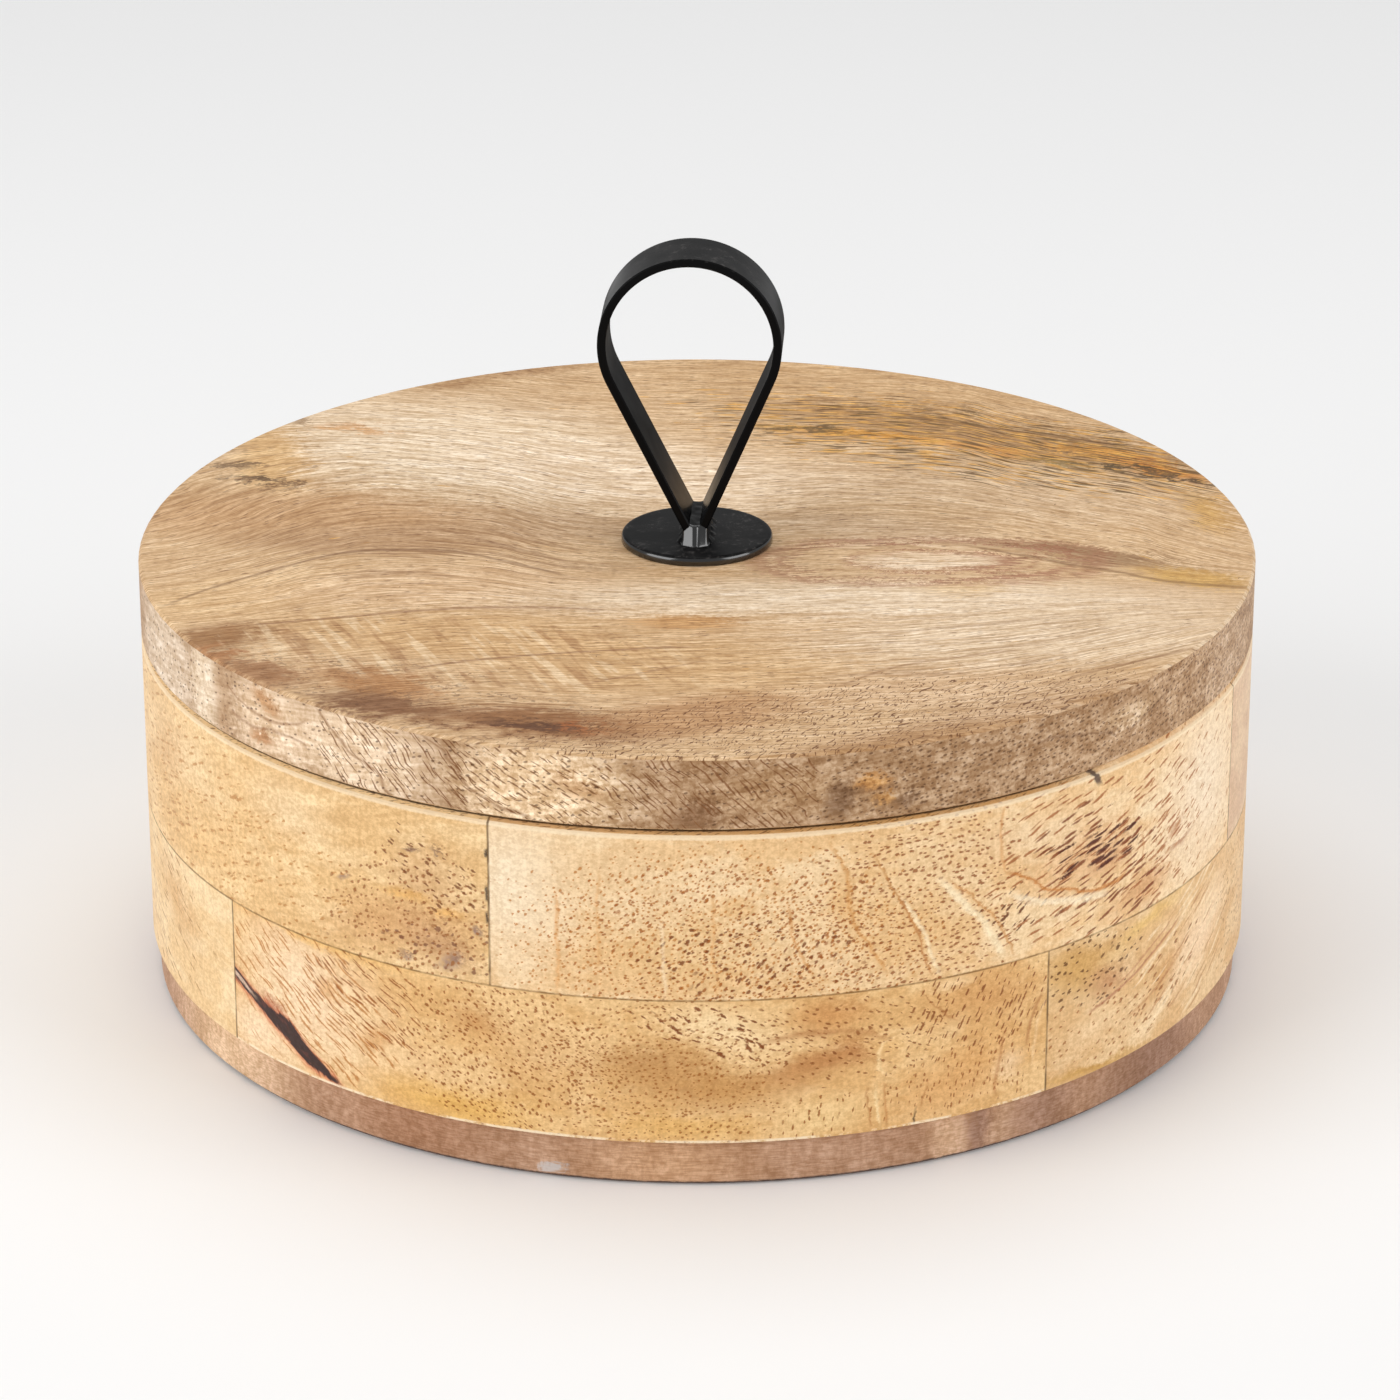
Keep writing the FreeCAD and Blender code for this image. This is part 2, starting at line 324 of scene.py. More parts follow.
LID_ZONES = [
    (0xd5b288, (-0.6, 0.75), (0.7, 0.3), 35, 0.8),
    (0xd4ae80, (0.4, 0.85), (0.8, 0.3), -15, 0.9),
    (0xdfbf99, (0.5, 0.26), (0.6, 0.2), -16, 0.8),
    (0xcba175, (-0.7, 0.12), (0.56, 0.2), -4, 0.9),
    (0xbe9871, (-0.55, 0.0), (0.4, 0.11), 0, 0.9),
    (0xc8a682, (-0.26, 0.08), (0.3, 0.12), -10, 0.6),
    (0xf3dbbb, (-0.44, 0.48), (0.64, 0.36), -22, 1.0),
    (0xf1d8b9, (-0.12, 0.34), (0.5, 0.24), -15, 0.9),
    (0xdeb276, (-0.79, 0.44), (0.09, 0.26), 10, 0.75),
    (0xe5c192, (-0.82, -0.28), (0.32, 0.14), 25, 0.8),
    (0xe3c098, (-0.45, -0.22), (0.44, 0.14), 8, 0.8),
    (0xf3dcbe, (0.3, -0.29), (0.8, 0.13), 0, 0.9),
    (0xebd1b0, (0.58, -0.46), (0.6, 0.2), 8, 0.95),
    (0xd8b07e, (-0.42, -0.46), (0.5, 0.16), -8, 0.8),
    (0xd6ae7c, (-0.05, -0.6), (0.46, 0.18), 0, 0.7),
    (0xe2c09a, (0.4, -0.7), (0.3, 0.12), 10, 0.7),
    (0xceaa84, (0.5, -0.86), (0.6, 0.14), 30, 0.9),
    (0xce9c64, (-0.03, -0.41), (0.13, 0.05), -6, 0.85),
    (0xd0b08c, (0.32, 0.05), (0.34, 0.12), -12, 0.85),
    (0xf0d6b6, EYE, (0.18, 0.06), 0, 0.85),
    (0xae8c68, (0.7, -0.075), (0.3, 0.05), -20, 0.95),
    (0xd4a862, (0.89, -0.185), (0.15, 0.06), -22, 0.95),
    (0xdeb880, (0.47, -0.24), (0.09, 0.05), 0, 0.5),
]

LID_BAND = [
    (0xb48856, (0.42, 0.62), (0.5, 0.13), -20, 0.85),
    (0xac8252, (0.74, 0.46), (0.36, 0.12), -26, 0.85),
    (0xe09e40, (0.33, 0.55), (0.22, 0.04), -14, 0.95),
    (0xdc9a4a, (0.54, 0.47), (0.24, 0.045), -20, 0.85),
    (0xe4a248, (0.74, 0.47), (0.16, 0.026), -28, 0.85),
    (0xd08632, (0.86, 0.37), (0.17, 0.055), -34, 0.95),
    (0x8a7642, (0.66, 0.41), (0.1, 0.03), -34, 0.85),
    (0xd0a054, (0.93, 0.14), (0.05, 0.17), 22, 0.75),
    (0xd6a050, (0.16, 0.6), (0.1, 0.035), -10, 0.7),
]

LID_STAINS = [
    (0x9e7248, (-0.82, -0.47), (0.13, 0.09), 30, 0.9),
    (0xb27c50, (-0.83, -0.55), (0.08, 0.05), -45, 0.9),
    (0xa47650, (-0.74, -0.63), (0.13, 0.07), -42, 0.9),
    (0xb07c4c, (-0.54, -0.68), (0.18, 0.08), -28, 0.85),
    (0x7e5232, (-0.53, -0.775), (0.18, 0.07), -22, 0.9),
    (0x906038, (-0.26, -0.85), (0.3, 0.1), -12, 0.9),
    (0xa45824, (-0.185, -0.87), (0.06, 0.035), -20, 0.85),
    (0x5e3c28, (-0.27, -0.865), (0.13, 0.028), -14, 0.9),
    (0xbe9064, (0.0, -0.82), (0.26, 0.12), 20, 0.8),
    (0xb88e62, (0.36, -0.93), (0.4, 0.07), 20, 0.85),
    (0xba9268, (0.66, -0.78), (0.16, 0.06), 48, 0.8),
    (0xb0865c, (-0.34, 0.93), (0.22, 0.05), 18, 0.7),
    (0xa87c50, (-0.47, 0.85), (0.06, 0.04), 0, 0.7),
    (0xd89e60, (-0.645, 0.59), (0.1, 0.03), -20, 0.7),
    (0x544228, (0.8, 0.378), (0.13, 0.024), -24, 0.9),
    (0x4e3e2a, (0.9, 0.31), (0.11, 0.024), -26, 0.9),
    (0x685230, (0.2, 0.585), (0.13, 0.02), -10, 0.85),
    (0x563e2a, (-0.82, 0.317), (0.07, 0.028), -20, 0.85),
    (0x624a32, (-0.86, 0.39), (0.05, 0.02), -20, 0.7),
    (0x6c4e34, (-0.77, 0.285), (0.05, 0.02), -30, 0.7),
    (0x8c6844, (-0.76, 0.63), (0.06, 0.025), -20, 0.6),
]

LID_LINES = [
    (0x805c40, [(-0.92, -0.316), (-0.83, -0.217), (-0.73, -0.132), (-0.66, -0.08), (-0.61, -0.06),
               (-0.53, -0.05), (-0.45, -0.053), (-0.4, -0.066), (-0.35, -0.1), (-0.24, -0.172)],
     0.011, 0.6),
    (0x967050, [(-0.4, 0.0), (-0.31, -0.053), (-0.235, -0.112)], 0.014, 0.5),
    (0x966c4c, [(-0.77, -0.415), (-0.61, -0.375), (-0.45, -0.339), (-0.37, -0.329), (-0.18, -0.342)],
     0.009, 0.7),
    (0x8e6448, [(-0.48, -0.612), (-0.32, -0.56), (-0.15, -0.53), (0.0, -0.513)], 0.008, 0.6),
    (0x966c4e, [(-0.18, -0.678), (-0.09, -0.63), (0.0, -0.585)], 0.008, 0.5),
    (0x86623e, [(0.5, -0.035), (0.6, -0.09), (0.74, -0.155), (0.84, -0.205), (0.97, -0.23)],
     0.012, 0.65),
    (0x9c724e, [(0.25, -0.68), (0.35, -0.6), (0.45, -0.56), (0.55, -0.53)], 0.008, 0.6),
    (0x966e4c, [(0.57, -0.79), (0.6, -0.69), (0.62, -0.665), (0.66, -0.632), (0.76, -0.573),
               (0.86, -0.514)], 0.01, 0.6),
    (0x745432, [(0.36, 0.66), (0.41, 0.655), (0.57, 0.596), (0.7, 0.543), (0.8, 0.5)], 0.01, 0.7),
]


def growth_lines(graph, u, v, wander):
    """How far across the growth lines a point of the lid lies, in millimetres: they bend with its figure."""
    front, middle, back = (graph.curve(u, line) for line in (LINES_FRONT, LINES_MIDDLE, LINES_BACK))
    bend = graph.between(graph.step(-0.45, -0.1, v), front, middle)
    bend = graph.between(graph.step(-0.1, 0.6, v), bend, back)
    eye = graph.ellipse(graph.vector(u, v), EYE, (0.3, 0.11))
    return (v - bend + eye * 0.04) * RADIUS + wander * 5


def lid_wood():
    """The lid: one board whose growth lines arch on the left and close in an eye on the right."""
    graph = Graph("lid_wood")
    point = graph.point()
    x, y = graph.parts(point)[:2]
    u, v = x / RADIUS, y / RADIUS
    wander = graph.noise(point, (34, 22, 22)) - 0.5
    flow = graph.vector(x, growth_lines(graph, u, v, wander))
    wide = graph.noise(flow, (44, 4.5), detail=4, roughness=0.65)
    streaks = graph.noise(flow, (15, 1.0), seed=1.0, detail=3, roughness=0.7)
    fibres = graph.noise(flow, (4.0, 0.42), seed=2.0, detail=1)
    speckle = graph.noise(point, (1.5, 1.3, 1.5), seed=3.0, detail=2, roughness=0.7)
    ragged = (speckle - 0.5) * 0.06
    place = graph.vector(u + wander * 0.1 + (streaks - 0.5) * 0.16 + ragged,
                         v + wander * 0.05 + (wide - 0.5) * 0.1 + ragged)

    paint = Paint(graph, 0xdbb88e)
    paint.zones(place, LID_ZONES, core=0.3)
    paint.grain(wide, 0.34, 0.66, 0.13)
    band = graph.ellipse(place, (0.55, 0.5), (0.85, 0.27), -24, 0.5)
    paint.zones(place, LID_BAND, core=0.2)
    paint.over(0xe6ac54, graph.dashes(flow, (9, 1.3), band, seed=8.0), 0.75)
    paint.over(0x6c522c, graph.dashes(flow, (10, 0.9), band, seed=9.0), 0.85)
    blotches = graph.noise(point, (7, 4.5, 7), seed=10.0, detail=4, roughness=0.7)
    stained = graph.vector(u + (blotches - 0.5) * 0.24 + ragged,
                           v + (blotches - 0.5) * 0.1 + (streaks - 0.5) * 0.08)
    paint.zones(stained, LID_STAINS, core=0.3)
    grimy = graph.ellipse(graph.vector(u, v), (-0.46, -0.74), (0.6, 0.2), -28, 0.4)
    grime = graph.step(0.48, 0.62, speckle) * graph.step(0.46, 0.58, blotches) * grimy
    paint.over(0x5c361c, grime, 0.6)

    chatter_zone = graph.ellipse(place, (-0.4, -0.54), (0.56, 0.2), -14, 0.5)
    chatter = graph.noise(point, (24, 2.8, 30), -66, 11.0, detail=2) + ragged
    paint.over(0xa06e42, graph.step(0.54, 0.68, chatter) * chatter_zone, 0.5)
    paint.over(0xf8deb8, graph.step(0.46, 0.36, chatter) * chatter_zone, 0.45)

    reach = graph.length(graph.measured(place, (0.13, 0.05), 0, (*EYE, 0.0)))
    rings = graph.noise(graph.vector(reach, wander), (0.42, 1.2), seed=12.0, detail=1)
    around = graph.band(reach, 0.5, 1.0, 1.8, 3.2)
    paint.over(0xa46c50, graph.band(rings, 0.5, 0.56, 0.62, 0.68) * around, 0.75)

    growth = graph.noise(flow, (80, 1.9), seed=13.0, detail=1)
    arch = graph.ellipse(place, (-0.5, -0.12), (0.5, 0.2), 0, 0.3)
    front_right = graph.ellipse(place, (0.5, -0.5), (0.6, 0.26), 12, 0.3)
    thin = graph.band(growth, 0.52, 0.56, 0.58, 0.63)
    paint.over(0x8a603e, thin * (0.35 + arch * 0.6 + front_right * 0.4), 0.5)
    line_u, line_v = u + wander * 0.04, v + (fibres - 0.5) * 0.012 + wander * 0.02
    for colour, points, width, strength in LID_LINES:
        paint.over(colour, graph.line(line_u, line_v, points, width, 0.08), strength)

    paint.grain(streaks, 0.36, 0.64, 0.21)
    flecks = graph.dashes(flow, (5.5, 0.42), 0.6 + (wide - 0.5) * 1.2, seed=4.0)
    paint.over(0x7c502c, flecks, 0.6)
    pits = graph.pores(flow, (3.4, 1.3), (2.2, 0.5), 0.3 + (wide - 0.5) * 1.2, seed=5.0)
    paint.over(0x704626, pits, 0.6)
    curl = graph.noise(point, (6, 6, 6), seed=6.0) - 0.5
    curly = graph.vector(x + curl * 8, y + curl * 5)
    front = graph.ellipse(place, (0.25, -0.86), (0.85, 0.26), 14, 0.5)
    worms = graph.dashes(curly, (2.4, 0.55), front * 0.78, angle=64, seed=7.0)
    paint.over(0x683e20, worms, 0.85)
    paint.grain(fibres, 0.28, 0.72, 0.15)
    paint.grain(speckle, 0.32, 0.68, 0.09)

    upward = graph.upward()
    # Painted highlight: pale on the eased upper edge of the lid, on the right, where it faces partly up,
    # broken by the grain.
    rim = graph.band(upward, 0.3, 0.6, 0.8, 0.98) * graph.step(0.5, 0.7, u)
    paint.over(0xf0dabc, rim * graph.step(0.4, 0.6, wide), 0.5)
    edge = lid_edge(graph, point, speckle)
    paint.colour = graph.mix(graph.step(0.75, 0.5, abs(upward)), paint.colour, edge)
    return paint.finish(0.42 + streaks * 0.2, streaks * 0.6 + pits * -0.4, depth=0.14, specular=0.22)


# The lid's edge, by degrees from the front towards the right, and millimetres of height

LID_EDGE_MIDDLE = 108

LID_EDGE_ZONES = [
    (0xe0c8ad, (-68, 108), (13, 26), 0, 0.95),
    (0xeed7ba, (-57.5, 108), (4, 22), 0, 0.9),
    (0xc4a07c, (-54.2, 108), (1.6, 14), 12, 0.45),
    (0xeed1b0, (-46, 108), (9, 18), 0, 0.95),
    (0xc08c5a, (-46.5, 113.5), (3.4, 4), -20, 0.85),
    (0xbc8656, (-47.5, 103.3), (2.4, 2.4), 0, 0.85),
    (0xf3d7b6, (-34, 108), (12, 20), 0, 0.95),
    (0xf4d4ac, (-15, 108), (12, 20), 0, 1.0),
    (0xc69868, (-11, 109), (4, 3.6), -20, 0.7),
    (0x8a6444, (0, 102.5), (3.4, 6), 0, 0.85),
    (0xb69068, (8, 109), (7, 10), 0, 0.8),
    (0x7c5a3e, (13.6, 105.5), (2.2, 7.5), -24, 0.75),
    (0xc89256, (16.6, 109), (2.4, 4), 0, 0.95),
    (0xd09c5e, (18, 104), (1.6, 2.4), 0, 0.8),
    (0x7a583c, (19.8, 103.5), (1.8, 3.4), 20, 0.7),
    (0xd6b692, (47, 110), (6, 4.6), 0, 0.85),
    (0xc6a686, (67, 108), (10, 18), 0, 0.7),
]

LID_EDGE_LINES = [
    (0x966c48, [(-39.5, 117), (-36, 110), (-31.5, 102), (-30, 98)], 0.9, 0.7),
    (0x926844, [(-27, 117), (-24, 112), (-21, 105), (-16, 99)], 0.9, 0.7),
    (0xa07654, [(-53, 114), (-50, 110), (-47, 108.5), (-44, 109.5), (-41, 112.5)], 0.8, 0.6),
    (0xa07654, [(-52.5, 107), (-49, 105), (-45, 106.6), (-41, 104)], 0.8, 0.6),
    (0x846246, [(35, 112), (40, 109.5), (45, 106)], 0.7, 0.6),
    (0x846246, [(47, 106), (51, 109.5), (54, 112)], 0.7, 0.6),
]


def lid_edge(graph, point, speckle):
    """The lid's edge, where the board's fibres are cut at a slant: strokes on the left, dots on the right."""
    x, y, z = graph.parts(point)
    arc = graph.math("ARCTAN2", x, -y) * RADIUS
    wander = graph.noise(point, (14, 14, 7), seed=21.0) - 0.5
    mottle = graph.noise(point, (8, 8, 4), seed=22.0, detail=4, roughness=0.7)
    ragged = (speckle - 0.5) * 5
    place = graph.vector(arc + wander * 5 + ragged, z + (mottle - 0.5) * 8 + ragged)
    wavy = graph.vector(arc + wander * 3, z + wander * 2)

    def within(middle, half, height=LID_EDGE_MIDDLE):
        return graph.ellipse(place, (middle, height), (half, 18), 0, 0.6, ARC_PER_DEGREE)

    edge = Paint(graph, 0xb6926e)
    edge.zones(place, LID_EDGE_ZONES, ARC_PER_DEGREE, 0.3)
    stronger = 0.6 + graph.step(-30 * ARC_PER_DEGREE, 0, arc) * 0.8
    edge.grain(0.5 + (mottle - 0.5) * stronger, 0.36, 0.64, 0.22)
    waves = graph.noise(wavy, (10, 1.1), angle=8, seed=26.0)
    edge.grain(waves, 0.36, 0.64, 0.12)
    line_x, line_z = arc + wander * 6, z + wander * 4
    for colour, points, width, strength in LID_EDGE_LINES:
        edge.over(colour, graph.line(line_x, line_z, points, width, 3.0, ARC_PER_DEGREE), strength)
    steep_share = (within(-30, 11) + within(2, 12)) * 0.95
    frayed = (speckle - 0.5) * 0.6
    steep = graph.pores(wavy, (6.0, 1.4), (7.6, 0.6), steep_share, -46, 23.0, frayed * 0.6)
    edge.over(0x7e502c, steep, 0.85)
    short_share = within(-16, 11, LID_EDGE_MIDDLE - 1) * 0.95
    short = graph.pores(wavy, (3.6, 1.4), (4.0, 0.6), short_share, -30, 24.0, frayed)
    edge.over(0x7a4c26, short, 0.8)
    right = graph.step(4 * ARC_PER_DEGREE, 26 * ARC_PER_DEGREE, arc)
    dots = graph.pores(wavy, (1.8, 1.3), (1.3, 0.7), 0.35 + right * 0.65, 12, 25.0, frayed)
    edge.over(0x58361e, dots, 0.7)
    edge.grain(0.5 + (speckle - 0.5) * stronger, 0.34, 0.66, 0.2)
    return edge.colour


# The wall, by degrees from the front towards the right, and millimetres of height

class Wall:
    """One segment of the wall: its coordinates, and the wood that all segments share."""

    def __init__(self, name, centre, colour, patch, seed=0.0):
        self.graph = graph = Graph(name + "_wood")
        self.name = name
        self.seed = seed
        self.low, self.high = (corner.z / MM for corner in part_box(name))
        x, y, z = graph.parts(graph.point())
        c, s = math.cos(math.radians(centre)), math.sin(math.radians(centre))
        swing = graph.math("ARCTAN2", x * c + y * s, x * s - y * c)
        self.arc = swing * RADIUS + centre * ARC_PER_DEGREE
        self.height = z + RADIUS - graph.length(graph.vector(x, y))
        plane = graph.vector(self.arc, self.height)
        wander = graph.noise(plane, (20, 11), seed=seed) - 0.5
        self.patches = graph.noise(plane, (22, 11), seed=seed + 0.3, detail=4, roughness=0.65)
        self.ground = graph.noise(plane, (1.3, 1.0), seed=seed + 0.6, detail=2, roughness=0.7)
        self.upright = graph.noise(plane, (0.8, 8), seed=seed + 0.8, detail=1)
        self.ragged = (self.ground - 0.5) * 1.6
        self.wavy = graph.vector(self.arc + wander * 3, self.height + wander * 5)
        self.place = graph.vector(self.arc + wander * 10 + self.ragged * 3,
                                  self.height + (self.patches - 0.5) * 10 + self.ragged * 2)
        self.paint = Paint(graph, colour)
        self.paint.over(patch, graph.step(0.42, 0.6, self.patches))

    def zones(self, rows):
        self.paint.zones(self.place, rows, ARC_PER_DEGREE)

    def marks(self, rows):
        """Rows of pores: where they lie, their spacing, size, share, rise, colour and strength."""
        for (centre, half, angle), spacing, size, share, rise, colour, strength in rows:
            self.seed += 1.7
            within = self.graph.ellipse(self.place, centre, half, angle, 0.5, ARC_PER_DEGREE)
            share = within * ((self.patches - 0.5) * 0.9 + share)
            ragged = self.ragged * (0.5 if size[0] > 4 else 1.0)
            mask = self.graph.pores(self.wavy, spacing, size, share, rise, self.seed, ragged)
            self.paint.over(colour, mask, strength)

    def lines(self, rows, wobble=4.0, fade=5.0):
        """Rows of lines: colour, points by angle and height, half width and strength."""
        off = self.ragged * 0.8 + (self.patches - 0.5) * wobble
        x, y = self.arc + off, self.height + off
        for colour, points, width, strength in rows:
            self.paint.over(colour, self.graph.line(x, y, points, width, fade, ARC_PER_DEGREE), strength)

    def grain(self, depth=0.12):
        """The grainy ground that lies over everything."""
        self.paint.grain(self.upright, 0.3, 0.7, 0.035)
        self.paint.grain(self.ground, 0.32, 0.68, depth)

    def rim(self, colour, strength, low=-180, high=180):
        """The upper edge: a pale line of painted highlight where the edge rounds over, the bevel above it in
        a colour that is partly end grain and partly painted shade from the lid, and a dark line of painted
        shadow on the rim under the lid.
        """
        graph, paint = self.graph, self.paint
        rise = self.height + self.ragged * 0.4 - (UPPER_TOP - RIM_BEVEL)
        # Painted highlight: a pale line just under the bevel, where the rounded edge catches the light.
        paint.over(0xfbe6c4, graph.band(rise, -0.9, -0.3, 0.8, 1.2), 0.6)
        # The bevel under the lid: its colour is partly end grain and partly painted shade of the lid above
        # it.
        there = graph.band(rise, 0.9, 1.3, 2 * RIM_BEVEL, 2 * RIM_BEVEL + 0.5)
        there = there * graph.band(self.arc / ARC_PER_DEGREE, low - 12, low, high, high + 12)
        paint.over(colour, there, strength)
        paint.over(0x623a1a, graph.dashes(self.wavy, (2.6, 0.5), 0.75, 24, 5.0) * there, 0.7)
        # Painted shadow: a dark line at the top of the bevel, in the gap under the lid's edge.
        paint.over(0x2c1c12, graph.band(rise, 2.2, 2.7, 3.3, 3.9) * there, 0.85)

    def finish(self, low_end, high_end):
        """Lays the dark hairlines of the joints over the rest and puts the wood on the segment."""
        graph, paint = self.graph, self.paint
        broken = graph.step(0.35, 0.6, graph.noise(self.wavy, (3, 5), seed=9.5))
        off = self.arc - (low_end + high_end) / 2 * ARC_PER_DEGREE
        half = (high_end - low_end) / 2 * ARC_PER_DEGREE
        paint.over(0x684e2e, graph.step(half - 0.5, half - 0.1, abs(off)), 0.5 + broken * 0.4)
        joint = abs(self.height - COURSE_JOINT + self.ragged * 0.15)
        paint.over(0x7e5a2c, graph.step(0.42, 0.08, joint), 0.45 + broken * 0.4)
        dress([self.name], paint.finish(0.36 + self.ground * 0.2, self.ground, depth=0.12, specular=0.2))


UPPER_FRONT_ZONES = [
    (0xf7e0be, (-18, 80), (10, 34), 0, 1.0),
    (0xeecea2, (-8, 84), (12, 22), 0, 0.7),
    (0xe4ba80, (0, 66), (15, 18), 0, 0.6),
    (0xe6ba80, (20, 72), (14, 34), 0, 0.6),
    (0xe2b070, (14.5, 78), (2.6, 14), 8, 0.6),
    (0xf0d0a4, (10, 62), (7, 9), 0, 0.6),
    (0xf2d4a8, (36, 62), (12, 9), 0, 0.8),
    (0xf0d0a6, (34, 86), (14, 10), 0, 0.6),
    (0xf4ddbe, (62, 78), (15, 40), 0, 1.0),
    (0xdeac7a, (41, 76), (10, 13), 10, 0.75),
    (0xd09868, (45, 72), (6, 7), 10, 0.6),
    (0xd4a070, (50, 59), (8, 7), 8, 0.8),
    (0xac7452, (56.5, 66.5), (3.2, 1.6), 6, 0.8),
    (0xb87c50, (55.6, 71.8), (2.2, 2.2), 20, 0.7),
    (0xf6deb8, (50, 82), (4, 5), 0, 0.7),
    (0xf4d8b0, (39, 59.5), (3, 3), 0, 0.7),
]

UPPER_FRONT_MARKS = [
    (((2, 66), (27, 36), 0), (1.5, 1.2), (1.0, 0.7), 0.85, 30, 0xc27c34, 0.8),
    (((2, 68), (20, 30), 0), (1.9, 1.6), (1.25, 0.85), 0.8, 35, 0xa25816, 0.8),
    (((5, 62), (13, 18), 0), (2.4, 2.0), (1.7, 1.05), 0.85, 36, 0x783604, 0.85),
    (((22, 74), (14, 44), 0), (1.9, 1.5), (1.5, 0.8), 0.95, 2, 0x904a14, 0.8),
    (((62, 76), (16, 44), 0), (4.4, 2.3), (3.2, 0.8), 0.7, 30, 0xbe8250, 0.8),
    (((44, 76), (20, 40), 0), (7.0, 2.1), (6.4, 0.9), 0.85, 18, 0xa45e2c, 0.85),
    (((32.5, 67), (5, 8), 0), (4.0, 2.2), (3.6, 1.0), 0.9, 38, 0x683016, 0.9),
    (((44, 70), (13, 22), -40), (7.6, 2.0), (7.6, 1.1), 0.9, 16, 0x803f1c, 0.9),
    (((43, 76.5), (9, 8), 0), (8.0, 2.1), (8.8, 1.35), 1.0, 16, 0x511c10, 0.95),
]

UPPER_FRONT_LINES = [
    (0xd69a58, [(12.7, 93), (14.3, 86), (15.2, 72), (16.6, 65), (18.4, 57)], 0.9, 0.7),
    (0xc88c4c, [(17, 89), (19, 80), (20.3, 74), (21.5, 66)], 0.7, 0.6),
    (0xfae0b6, [(20.2, 76), (22.2, 65), (23.9, 54)], 1.1, 0.85),
    (0xbe7e44, [(19.6, 78), (21.4, 66), (23.1, 54)], 0.7, 0.75),
    (0xfbe4bc, [(24.2, 80), (27.2, 70), (29.7, 62), (31, 55)], 2.1, 0.95),
    (0xce9254, [(25.4, 79), (28.6, 70), (31.1, 62), (32.3, 55)], 0.8, 0.75),
    (0xe0a260, [(-13.5, 54), (-13.3, 80)], 0.9, 0.55),
    (0xe2a664, [(-9.5, 60), (-9.4, 86)], 0.8, 0.4),
    (0xe0a462, [(1.8, 54), (1.6, 82)], 0.8, 0.45),
    (0xfae2bc, [(-3.2, 54), (-3.3, 74)], 0.9, 0.5),
    (0xd69654, [(8.8, 78), (9.5, 68), (11, 58)], 0.7, 0.6),
    (0xfbe6c4, [(32, 71), (36, 66.2), (40, 63.8), (44, 62.6)], 1.7, 0.8),
    (0xc6803e, [(31.5, 77), (34, 74), (36.5, 69.5), (39, 67.5), (41, 65.5), (44, 64.4), (47, 66)],
     0.9, 0.85),
    (0xd6985a, [(30.8, 96), (30.4, 86), (31.4, 77)], 0.8, 0.6),
    (0xc48652, [(49.3, 75), (50.0, 71), (49.8, 67)], 0.7, 0.6),
]

# The nick in the upper rim, painted as a dark slanted mark of shade: its angle, the height where it has that
# angle, and where it starts
NICK_ANGLE = 42.4
NICK_HEIGHT = 96
NICK_START = (93.2, 95.2)


def upper_front():
    """The upper course's front piece: dots on the left, ripples, and bold strokes on the right."""
    wall = Wall("upper_segment_1", 24.8, 0xeac18c, 0xf3d3a6, seed=1.0)
    graph = wall.graph
    wall.zones(UPPER_FRONT_ZONES)
    wall.marks(UPPER_FRONT_MARKS)
    wall.lines(UPPER_FRONT_LINES)
    wall.grain()
    # The rim: its pale line is painted highlight, its bevel colour partly painted shade under the lid, its
    # dark line painted shadow.
    wall.rim(0xc48e4e, 0.75, -22, 34)
    # Painted shade: the nick is not cut, its recess is a dark slanted mark at the rim.
    slanted = wall.arc + (wall.height - NICK_HEIGHT) * 0.5 + wall.ragged
    at_rim = graph.band(wall.height, *NICK_START, UPPER_TOP + 1, UPPER_TOP + 3)
    nick_shade = graph.step(1.5, 0.5, abs(slanted - NICK_ANGLE * ARC_PER_DEGREE)) * at_rim
    wall.paint.over(0x4e3a32, nick_shade, 0.9)
    wall.finish(-20.2, 69.8)


LOWER_FRONT_ZONES = [
    (0xf8dab4, (-42, 36), (15, 28), -14, 1.0),
    (0xf8d9b2, (-49, 19), (10, 13), 0, 1.0),
    (0xf2ce9c, (-30, 26), (12, 12), -24, 0.7),
    (0xeaba70, (-40, 52), (18, 3), 0, 0.8),
    (0xd8a266, (-38.5, 40), (2.6, 4.5), 0, 0.7),
    (0xd0985c, (-33, 31), (3.6, 5), 30, 0.7),
    (0xe4b260, (-24, 17), (14, 9), 0, 0.9),
    (0xc48c50, (-21.5, 42), (4.5, 8), 0, 0.75),
    (0xe4ba84, (-15, 36), (8, 12), 0, 0.7),
    (0xbe8c54, (-4, 34), (10, 11), 0, 0.8),
    (0xc49054, (2, 28), (11, 9), 0, 0.9),
    (0xe6b66c, (-2, 17), (12, 6), 0, 0.7),
    (0xf6d6a4, (2, 45), (9, 10), -14, 1.0),
    (0xce9458, (13, 46), (6, 8), 0, 0.85),
    (0xbe844e, (12, 33), (9, 8), 10, 0.9),
    (0xb87a44, (15.5, 36), (4, 5), 0, 0.6),
    (0xe8ba7a, (18.5, 37), (3, 6), 20, 0.7),
    (0xf2ce94, (12.5, 18), (6.5, 9), 0, 0.9),
    (0xdca668, (26, 24), (12, 14), 20, 0.8),
    (0xd49e62, (29, 44), (10, 13), 0, 0.8),
    (0xf2ce9c, (25.5, 50), (3.6, 3.6), 0, 0.8),
    (0xeec892, (25.5, 37), (3, 5), 30, 0.7),
    (0xf2d0a4, (32, 24), (2.6, 6), -10, 0.8),
]

